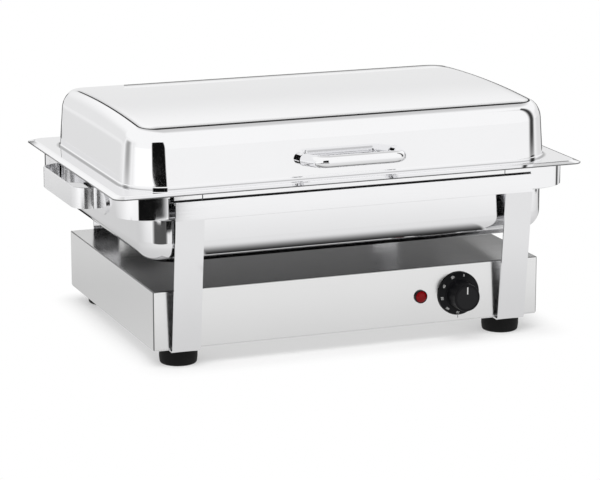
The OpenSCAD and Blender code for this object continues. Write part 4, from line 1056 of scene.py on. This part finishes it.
class CHAFER_OT_lid(bpy.types.Operator):
    """Presses the lid from its lip to its crowned top"""
    bl_idname = "chafer.lid"
    bl_label = "Lid"

    def execute(self, context):
        sizes = context.scene.chafer_lid
        half_x, half_y = halves(LID_LOW, LID_HIGH)
        wall_in = sizes.foot_in + sizes.wall * math.tan(sizes.draft)
        wall_up = sizes.foot_up + sizes.wall
        crease_in = wall_in + sizes.shoulder * (math.cos(sizes.draft) - math.cos(sizes.shoulder_end))
        crease_up = wall_up + sizes.shoulder * (math.sin(sizes.shoulder_end) - math.sin(sizes.draft))
        foot = rounded_line(
            [(0, 0), (0, sizes.lip), (sizes.foot_in, sizes.foot_up), (wall_in, wall_up)],
            [sizes.lip_bend, sizes.foot_bend], 5)[:-1]
        profile = [Vector((inset, up, 0)) for inset, up in foot]
        steps = 18
        for step in range(steps + 1):
            now = sizes.draft + (sizes.crease_start - sizes.draft) * step / steps
            profile.append(Vector((
                wall_in + sizes.shoulder * (math.cos(sizes.draft) - math.cos(now)),
                wall_up + sizes.shoulder * (math.sin(now) - math.sin(sizes.draft)),
                sizes.crown * (now - sizes.draft) / (sizes.shoulder_end - sizes.draft))))
        below = profile[-1]
        top_half = half_y - crease_in
        rise = 1 / math.tan(sizes.crease_start)
        slope = 2 * sizes.crown / top_half
        meet = (crease_up - slope * crease_in - below.y + rise * below.x) / (rise - slope)
        end = meet + sizes.crease_reach
        end_share = ((half_y - end) / top_half) ** 2
        corner = Vector((meet, crease_up + slope * (meet - crease_in), sizes.crown))
        above = Vector((end, crease_up + sizes.crown * (1 - end_share), sizes.crown * end_share))
        steps = 14
        for step in range(1, steps + 1):
            now = step / steps
            profile.append(below * (1 - now) ** 2 + corner * 2 * now * (1 - now) + above * now ** 2)
        rings = []
        for inset, up, arch in profile:
            lean = min(inset / crease_in, 1)
            radius = sizes.lip_corner - (sizes.lip_corner - sizes.crease_corner) * lean
            radius = max(radius - max(inset - crease_in, 0), sizes.inner_corner)
            rings.append(rounded_ring(half_x - inset, half_y - inset, radius, LID_LOW.z + up, arch))
        lid = loft("lid_pressing", rings, close_last=True)
        thicken(lid, sizes.sheet, -1)
        settle(lid, smooth=50)
        # The lid's finish carries a painted reflection line along its crease and a soft painted shade above
        # it
        place(lid, "lid", MATERIALS["creased"], "polished_steel", "lid_shell")
        return {"FINISHED"}


def tube(name, path, radius, across, steps=40):
    """A round tube along points in a plane; across is the plane's normal."""
    rings = []
    for k, point in enumerate(path):
        ahead = (path[min(k + 1, len(path) - 1)] - path[max(k - 1, 0)]).normalized()
        aside = ahead.cross(across).normalized()
        ring = []
        for step in range(steps):
            now = math.tau * step / steps
            ring.append(point + radius * (math.cos(now) * aside + math.sin(now) * across))
        rings.append(ring)
    return loft(name, rings)


class CHAFER_OT_lid_handle(bpy.types.Operator):
    """Bends the lid's tube handle"""
    bl_idname = "chafer.lid_handle"
    bl_label = "Lid handle"

    def execute(self, context):
        sizes = context.scene.chafer_handles
        lid = context.scene.chafer_lid
        lean = lid.draft
        out = Vector((0, -math.cos(lean), math.sin(lean)))
        up = Vector((0, math.sin(lean), math.cos(lean)))
        rise = sizes.height - lid.foot_up
        foot = Vector((0, LID_LOW.y + lid.foot_in, LID_LOW.z + lid.foot_up)) + up * rise / math.cos(lean)
        seat = foot + out * sizes.spacer
        run = sizes.out - sizes.spacer
        line = rounded_line(
            [(-sizes.span / 2, 0), (-sizes.bar / 2, run), (sizes.bar / 2, run), (sizes.span / 2, 0)],
            [sizes.bend, sizes.bend], 14)
        path = [seat + Vector((x, 0, 0)) + out * reach for x, reach in line]
        handle = tube("lid_grip", path, sizes.tube / 2, up)

        def cut_ends(form):
            """Cuts the tube flush with the spacers and closes its ends."""
            bmesh.ops.bisect_plane(
                form, geom=form.verts[:] + form.edges[:] + form.faces[:], plane_co=seat, plane_no=out,
                clear_inner=True)
            bmesh.ops.remove_doubles(form, verts=form.verts, dist=CUT_WELD)
            bmesh.ops.holes_fill(form, edges=[e for e in form.edges if e.is_boundary])

        rework(handle.data, cut_ends)
        settle(handle, sizes.tube_edge, 50)
        place(handle, "lid", MATERIALS["polished"], "polished_steel", "lid_handle")
        return {"FINISHED"}


class CHAFER_OT_side_handles(bpy.types.Operator):
    """Bends the two strip handles on the band's ends"""
    bl_idname = "chafer.side_handles"
    bl_label = "Side handles"

    def execute(self, context):
        sizes = context.scene.chafer_handles
        half = sizes.grip_sheet / 2
        tall = (GRIP_HIGH.z - GRIP_LOW.z) / 2
        middle_z = (GRIP_LOW.z + GRIP_HIGH.z) / 2
        bend_y = sizes.grip / 2 - half
        inner = GRIP_LOW.x + half
        outer = GRIP_HIGH.x - half
        end_y = bend_y + sizes.tab
        middle = rounded_line(
            [(inner, -end_y), (inner, -bend_y), (outer, -bend_y), (outer, bend_y), (inner, bend_y),
             (inner, end_y)],
            [sizes.tab_bend, sizes.grip_bend, sizes.grip_bend, sizes.tab_bend], 14)
        first = middle[0]
        last = middle[-1]
        steps = 12
        arc = [tall * (1 - math.cos(math.radians(90) * k / steps)) for k in range(steps + 1)]
        path = [Vector((first.x, first.y + d)) for d in arc] + middle[1:-1]
        path += [Vector((last.x, last.y - d)) for d in reversed(arc)]
        for name, side in (("left", -1), ("right", 1)):
            points = []
            for x, y in path:
                from_end = min(end_y - abs(y), tall)
                reach = math.sqrt(max(tall ** 2 - (tall - from_end) ** 2, LEAST ** 2))
                points += [(side * x, MID_Y + y, middle_z - reach), (side * x, MID_Y + y, middle_z + reach)]
            faces = [(2 * k, 2 * k + 1, 2 * k + 3, 2 * k + 2) for k in range(len(path) - 1)]
            handle = new_piece(f"{name}_strip_handle", points, faces)
            thicken(handle, sizes.grip_sheet, 0)
            settle(handle, sizes.grip_edge)
            place(handle, "water_bath", MATERIALS["pressed"], "polished_steel", f"{name}_handle")
        return {"FINISHED"}


def face_panel(piece, x, z):
    """Turns a piece that stands along +Z to face out of the front panel."""
    piece.data.transform(Matrix.Translation((x, PANEL_Y, z)) @ Matrix.Rotation(math.radians(90), 4, "X"))


class CHAFER_OT_knob(bpy.types.Operator):
    """Turns the knob and prints its figures"""
    bl_idname = "chafer.knob"
    bl_label = "Knob"

    def execute(self, context):
        sizes = context.scene.chafer_controls
        x, z = front_middle(KNOB_LOW, KNOB_HIGH)
        skirt = halves(KNOB_LOW, KNOB_HIGH)[0]
        out = PANEL_Y - KNOB_LOW.y
        gap = sizes.skirt_gap
        cap = sizes.cap / 2
        skirt_low = gap + sizes.skirt_edge
        skirt_top = gap + sizes.skirt
        slope_end = cap + sizes.cap_foot
        border = cap - sizes.face_border
        face = out - sizes.face_drop
        bends = [bend * MM for bend in (0.5, 0.8, 0.8, 1.2, 0.8, 1.4, 0.05)]
        profile = rounded_line(
            [(sizes.hollow, gap + sizes.hollow_depth), (sizes.hollow, gap), (skirt, gap), (skirt, skirt_low),
             (slope_end, skirt_top), (cap + sizes.cap_draft, skirt_top), (cap, out), (border, out),
             (border, face)],
            bends, 6)
        body = lathe("knob_moulding", profile)
        face_panel(body, x, z)
        settle(body)
        place(body, "knob", MATERIALS["plastic"], "black_plastic", "knob_body")
        disc = lathe("knob_face", [(border, face), (0, face)])
        face_panel(disc, x, z)
        thicken(disc, sizes.face_sheet, -1)
        settle(disc)
        place(disc, "knob", MATERIALS["cap"], "black_plastic")
        slope = math.atan2(skirt_top - skirt_low, skirt - slope_end)
        up = skirt_low + (skirt - sizes.figure_ring) * math.tan(slope) + sizes.figure_lift
        self.print_figures(sizes, x, z, slope, up)
        return {"FINISHED"}

    def print_figures(self, sizes, x, z, slope, up):
        """Small white figures round the skirt's slope."""
        figures = []
        for number, word in enumerate(("0", "30", "40", "50", "60", "70", "80", "90")):
            text = bpy.data.curves.new("figure", "FONT")
            text.body = word
            text.size = sizes.figure
            text.align_x = "CENTER"
            text.align_y = "CENTER"
            text.extrude = sizes.figure_print
            holder = added("figure", text)
            graph = bpy.context.evaluated_depsgraph_get()
            mesh = bpy.data.meshes.new_from_object(holder.evaluated_get(graph))
            bpy.data.objects.remove(holder)
            turn = sizes.figure_start + sizes.figure_step * number
            mesh.transform(
                Matrix.Rotation(turn, 4, "Z") @ Matrix.Translation((0, sizes.figure_ring, up))
                @ Matrix.Rotation(-slope, 4, "X"))
            figure = added(f"figure_{number}", mesh)
            face_panel(figure, x, z)
            figures.append(figure)
        place(join("knob_figures", figures), "knob", MATERIALS["white"], "pointer_white")


class CHAFER_OT_lamp(bpy.types.Operator):
    """Turns the signal lamp's domed lens"""
    bl_idname = "chafer.lamp"
    bl_label = "Signal lamp"

    def execute(self, context):
        sizes = context.scene.chafer_controls
        x, z = front_middle(LENS_LOW, LENS_HIGH)
        radius = halves(LENS_LOW, LENS_HIGH)[0]
        top = PANEL_Y - LENS_LOW.y
        base = sizes.lens_base
        shoulder = base + sizes.lens_edge
        profile = [(0, base), (radius, base)]
        steps = 16
        for step in range(steps + 1):
            now = math.radians(90) * step / steps
            profile.append((radius * math.cos(now), shoulder + (top - shoulder) * math.sin(now)))
        lens = lathe("lamp_dome", profile, 64)
        face_panel(lens, x, z)
        settle(lens, smooth=40)
        place(lens, "base", MATERIALS["lens"], "lamp_red", "lamp_lens")
        return {"FINISHED"}


def studio_world(setup):
    """White for the camera, a graded studio for metal, even light for the rest."""
    ceiling_way = Vector((0.25, 0.50, 0.83)).normalized()
    ceiling_reach = (0.86, 0.98)
    horizon_reach = (0.18, 0.36)
    behind_reach = (-0.2, 0.3)
    open_level = 1.04
    world = bpy.data.worlds.new("studio")
    world.use_nodes = True
    bpy.context.scene.world = world
    tree = world.node_tree
    tree.nodes.clear()
    at = axes_of(tree, "Generated")
    ways = tree.nodes.new("ShaderNodeTexCoord")
    toward = tree.nodes.new("ShaderNodeVectorMath")
    toward.operation = "DOT_PRODUCT"
    toward.inputs[1].default_value = ceiling_way
    tree.links.new(ways.outputs["Generated"], toward.inputs[0])
    low = ramped(tree, at["Z"], *horizon_reach, 1.0 - setup.horizon, 0.0)
    behind = ramped(tree, at["Y"], *behind_reach, 0.0, 1.0)
    high = ramped(tree, toward.outputs["Value"], *ceiling_reach, open_level, setup.ceiling)
    graded = figured(tree, "SUBTRACT", high, product(tree, low, behind))
    paths = tree.nodes.new("ShaderNodeLightPath")
    lit = chosen(tree, paths.outputs["Is Glossy Ray"], setup.ambient, graded)
    seen = figured(tree, "MAXIMUM", paths.outputs["Is Camera Ray"], paths.outputs["Is Transmission Ray"])
    back = tree.nodes.new("ShaderNodeBackground")
    out = tree.nodes.new("ShaderNodeOutputWorld")
    tree.links.new(chosen(tree, seen, lit, 1.0), back.inputs["Strength"])
    back.inputs["Color"].default_value = (1, 1, 1, 1)
    tree.links.new(back.outputs["Background"], out.inputs["Surface"])


def empty_material(name):
    """A material without nodes, and its node tree."""
    material = bpy.data.materials.new(name)
    material.use_nodes = True
    material.node_tree.nodes.clear()
    return material, material.node_tree


def floor_material(setup):
    """White floor that takes a shadow close to the box; metal shows it with a painted shadow near and behind
    the dish and painted light to the left.
    """
    near_reach = (0.05, 0.35)
    far_reach = (0.55, 0.90)
    behind_reach = (-0.5, 0.3)
    # Painted light: metal shows the floor brighter to the left
    left_reach = (-1.6, -0.7)
    left_level = 1.14
    material, tree = empty_material("studio_floor")
    at = axes_of(tree, "Object")
    shift = setup.shadow_shift
    away = distance(tree, at, shift, BOX_HIGH.x - shift, BOX_HIGH.y - MID_Y, 0.0)
    # Painted shadow: metal shows the floor darker near the box and behind the dish
    near = ramped(tree, away, *near_reach, setup.floor_near, setup.floor_middle)
    far = ramped(tree, away, *far_reach, 0.0, 1.0 - setup.floor_middle)
    behind = ramped(tree, at["Y"], *behind_reach, 1.0, setup.floor_back)
    aside = ramped(tree, at["X"], *left_reach, left_level, 1.0)
    mirrored = product(tree, figured(tree, "ADD", near, far), behind, aside)
    paths = tree.nodes.new("ShaderNodeLightPath")
    glossy = paths.outputs["Is Glossy Ray"]
    plain = tree.nodes.new("ShaderNodeEmission")
    tree.links.new(chosen(tree, glossy, 1.0, mirrored), plain.inputs["Strength"])
    matt = tree.nodes.new("ShaderNodeBsdfDiffuse")
    matt.inputs["Color"].default_value = (setup.floor, setup.floor, setup.floor, 1)
    mix = tree.nodes.new("ShaderNodeMixShader")
    out = tree.nodes.new("ShaderNodeOutputMaterial")
    shown = ramped(tree, away, 0.0, setup.shadow_far, 1.0 - setup.shadow, 1.0)
    tree.links.new(figured(tree, "MAXIMUM", shown, glossy), mix.inputs["Fac"])
    tree.links.new(matt.outputs["BSDF"], mix.inputs[1])
    tree.links.new(plain.outputs["Emission"], mix.inputs[2])
    tree.links.new(mix.outputs["Shader"], out.inputs["Surface"])
    return material


def card(name, corners, axes, level, soft, rest):
    """A card that only metal shows. It fades from its level to the rest over the soft shares of its sides."""
    sharp = 1e-4
    material, tree = empty_material(name)
    at = axes_of(tree, "Generated")
    sides = []
    for axis, first, last in ((axes[0], soft[0], soft[1]), (axes[1], soft[2], soft[3])):
        sides.append(ramped(tree, at[axis], 0.0, max(first, sharp), 0.0, 1.0))
        sides.append(ramped(tree, at[axis], 1.0 - max(last, sharp), 1.0, 1.0, 0.0))
    glow = tree.nodes.new("ShaderNodeEmission")
    out = tree.nodes.new("ShaderNodeOutputMaterial")
    depth = product(tree, *sides, rest - level)
    tree.links.new(figured(tree, "SUBTRACT", rest, depth), glow.inputs["Strength"])
    tree.links.new(glow.outputs["Emission"], out.inputs["Surface"])
    piece = new_piece(name, corners, [(0, 1, 2, 3)])
    piece.data.materials.append(material)
    piece.visible_camera = False
    piece.visible_diffuse = False
    piece.visible_shadow = False
    piece.visible_transmission = False


# Each upright card's name, two ends in plan, lower and upper edge in metres, level, soft shares and rest
UPRIGHT_CARDS = (
    ("deck_low_card", (-0.05, 0.6), (1.2, 0.6), 0.002, 0.11, 0.17, (0, 0, 0, 0), 1.0),
    ("deck_high_card", (-0.05, 0.6), (1.2, 0.6), 0.11, 0.33, 0.20, (0, 0, 0, 0.15), 1.0),
    ("left_outline_card", (-0.40, 0.6), (-0.05, 0.6), 0.05, 0.18, 0.02, (0.05, 0, 0, 0.2), 1.0),
    ("lid_outline_card", (-0.35, 0.599), (-0.225, 0.599), 0.15, 0.27, 0.02, (0.2, 0.1, 0, 0.05), 1.0),
    ("lid_shoulder_card", (-0.31, 0.6), (-0.24, 0.6), 0.27, 0.36, 0.02, (0.2, 0.1, 0, 0.2), 1.0),
    ("deck_wedge_card", (-0.24, 0.599), (0.04, 0.599), 0.002, 0.09, 0.005, (0, 0.2, 0, 0), 0.17),
    ("left_lid_card", (-2.00, -2.4), (-0.13, -2.4), 0.02, 1.85, 0.005, (0.1, 0.06, 0, 0.03), 1.0),
    ("left_band_card", (-0.705, -0.62), (-0.030, -0.80), 0.040, 0.12, 0.005, (0.06, 0.022, 0, 0), 1.0),
    ("left_tub_card", (-0.827, -0.325), (-0.372, -0.757), 0.001, 0.060, 0.09, (0.25, 0.2, 0, 0), 1.0),
    ("left_end_card", (-1.27, 0.0), (-0.98, 0.62), 0.05, 0.55, 0.40, (0.45, 0.45, 0.2, 0.3), 1.0),
    ("right_lid_card", (1.08, -0.72), (1.25, -0.20), 0.05, 2.2, 0.05, (0.4, 0.4, 0.05, 0.1), 1.0),
    ("right_band_card", (1.02, 0.12), (1.07, -0.19), 0.001, 0.07, 0.10, (0.3, 0.3, 0, 0.1), 1.0),
)

# Each flat card's name, near left and far right corner and height in metres, level, soft shares and rest
TUB_CARD_NEAR = (-0.18, PANEL_Y - 0.086)
TUB_CARD_FAR = (0.20, PANEL_Y - 0.004)
FLAT_CARDS = (
    ("tub_bottom_card", TUB_CARD_NEAR, TUB_CARD_FAR, DECK - 0.0005, 0.02, (0.02, 0.02, 1, 0), 0.75),
    ("rear_floor_card", (-0.28, 0.21), (1.0, 0.6), 0.002, 0.17, (0.05, 0.05, 0, 0), 0.6),
    ("wedge_floor_card", (-0.24, 0.38), (0.02, 0.6), 0.003, 0.005, (0, 0.2, 0.3, 0), 0.17),
)


def studio_cards():
    """Dark cards for the deck, the lid's left outline, the upright corners and the tub's bottom edge."""
    for name, start, end, low, high, level, soft, rest in UPRIGHT_CARDS:
        corners = [(*start, low), (*end, low), (*end, high), (*start, high)]
        card(name, corners, "XZ", level, soft, rest)
    for name, near, far, z, level, soft, rest in FLAT_CARDS:
        corners = [(*near, z), (far[0], near[1], z), (*far, z), (near[0], far[1], z)]
        card(name, corners, "XY", level, soft, rest)


class CHAFER_OT_stage(bpy.types.Operator):
    """Sets up the floor, the cards, the light and the camera"""
    bl_idname = "chafer.stage"
    bl_label = "Stage"

    def execute(self, context):
        setup = context.scene.chafer_studio
        scene = context.scene
        scene.view_settings.view_transform = "Standard"
        studio_world(setup)
        self.lay_floor(setup)
        studio_cards()
        light = bpy.data.lights.new("soft_overhead", "AREA")
        light.shape = "RECTANGLE"
        light.size, light.size_y = setup.key_size
        light.energy = setup.key_power
        key = added("soft_overhead", light)
        key.location = setup.key_place
        aim = Vector((0, 0, 0.1))
        key.rotation_euler = (aim - key.location).to_track_quat("-Z", "Y").to_euler()
        key.visible_glossy = False
        view = bpy.data.cameras.new("photo_camera")
        view.lens = setup.lens
        view.sensor_width = 36
        view.clip_end = 100
        scene.camera = added("photo_camera", view)
        scene.camera.location = setup.camera_place
        scene.camera.rotation_euler = (math.radians(90) - setup.camera_down, 0, setup.camera_turn)
        return {"FINISHED"}

    def lay_floor(self, setup):
        """A wide round floor."""
        radius = 30
        steps = 64
        turns = [math.tau * k / steps for k in range(steps)]
        edge = [(radius * math.cos(now), radius * math.sin(now), 0) for now in turns]
        floor = new_piece("studio_floor", edge, [tuple(range(steps))])
        floor.data.materials.append(floor_material(setup))


class CHAFER_PT_panel(bpy.types.Panel):
    """Lists the makers of the pieces"""
    bl_idname = "CHAFER_PT_panel"
    bl_label = "Chafing dish"
    bl_space_type = "VIEW_3D"
    bl_region_type = "UI"
    bl_category = "Chafing dish"

    def draw(self, context):
        for maker in MAKERS:
            self.layout.operator(maker.bl_idname)


MAKERS = (
    CHAFER_OT_stage, CHAFER_OT_finishes, CHAFER_OT_base_box, CHAFER_OT_frames, CHAFER_OT_feet,
    CHAFER_OT_water_pan, CHAFER_OT_food_pan, CHAFER_OT_lid, CHAFER_OT_lid_handle,
    CHAFER_OT_side_handles, CHAFER_OT_knob, CHAFER_OT_lamp,
)
GROUPS = {
    "chafer_sheet": SheetSizes,
    "chafer_lid": LidSizes,
    "chafer_pan": PanSizes,
    "chafer_handles": HandleSizes,
    "chafer_controls": ControlSizes,
    "chafer_lines": PaintedShadeSizes,
    "chafer_finishes": Finishes,
    "chafer_studio": StudioSetup,
}


def register():
    """Adds the classes and the settings to Blender."""
    for name, group in GROUPS.items():
        bpy.utils.register_class(group)
        setattr(bpy.types.Scene, name, bpy.props.PointerProperty(type=group))
    for maker in (*MAKERS, CHAFER_PT_panel):
        bpy.utils.register_class(maker)


def unregister():
    """Takes the classes and the settings out again."""
    for maker in (CHAFER_PT_panel, *reversed(MAKERS)):
        bpy.utils.unregister_class(maker)
    for name, group in reversed(GROUPS.items()):
        delattr(bpy.types.Scene, name)
        bpy.utils.unregister_class(group)


def main():
    """Builds the dish."""
    register()
    for maker in MAKERS:
        family, action = maker.bl_idname.split(".")
        getattr(getattr(bpy.ops, family), action)()
    bpy.context.view_layer.update()


if __name__ == "__main__":
    main()
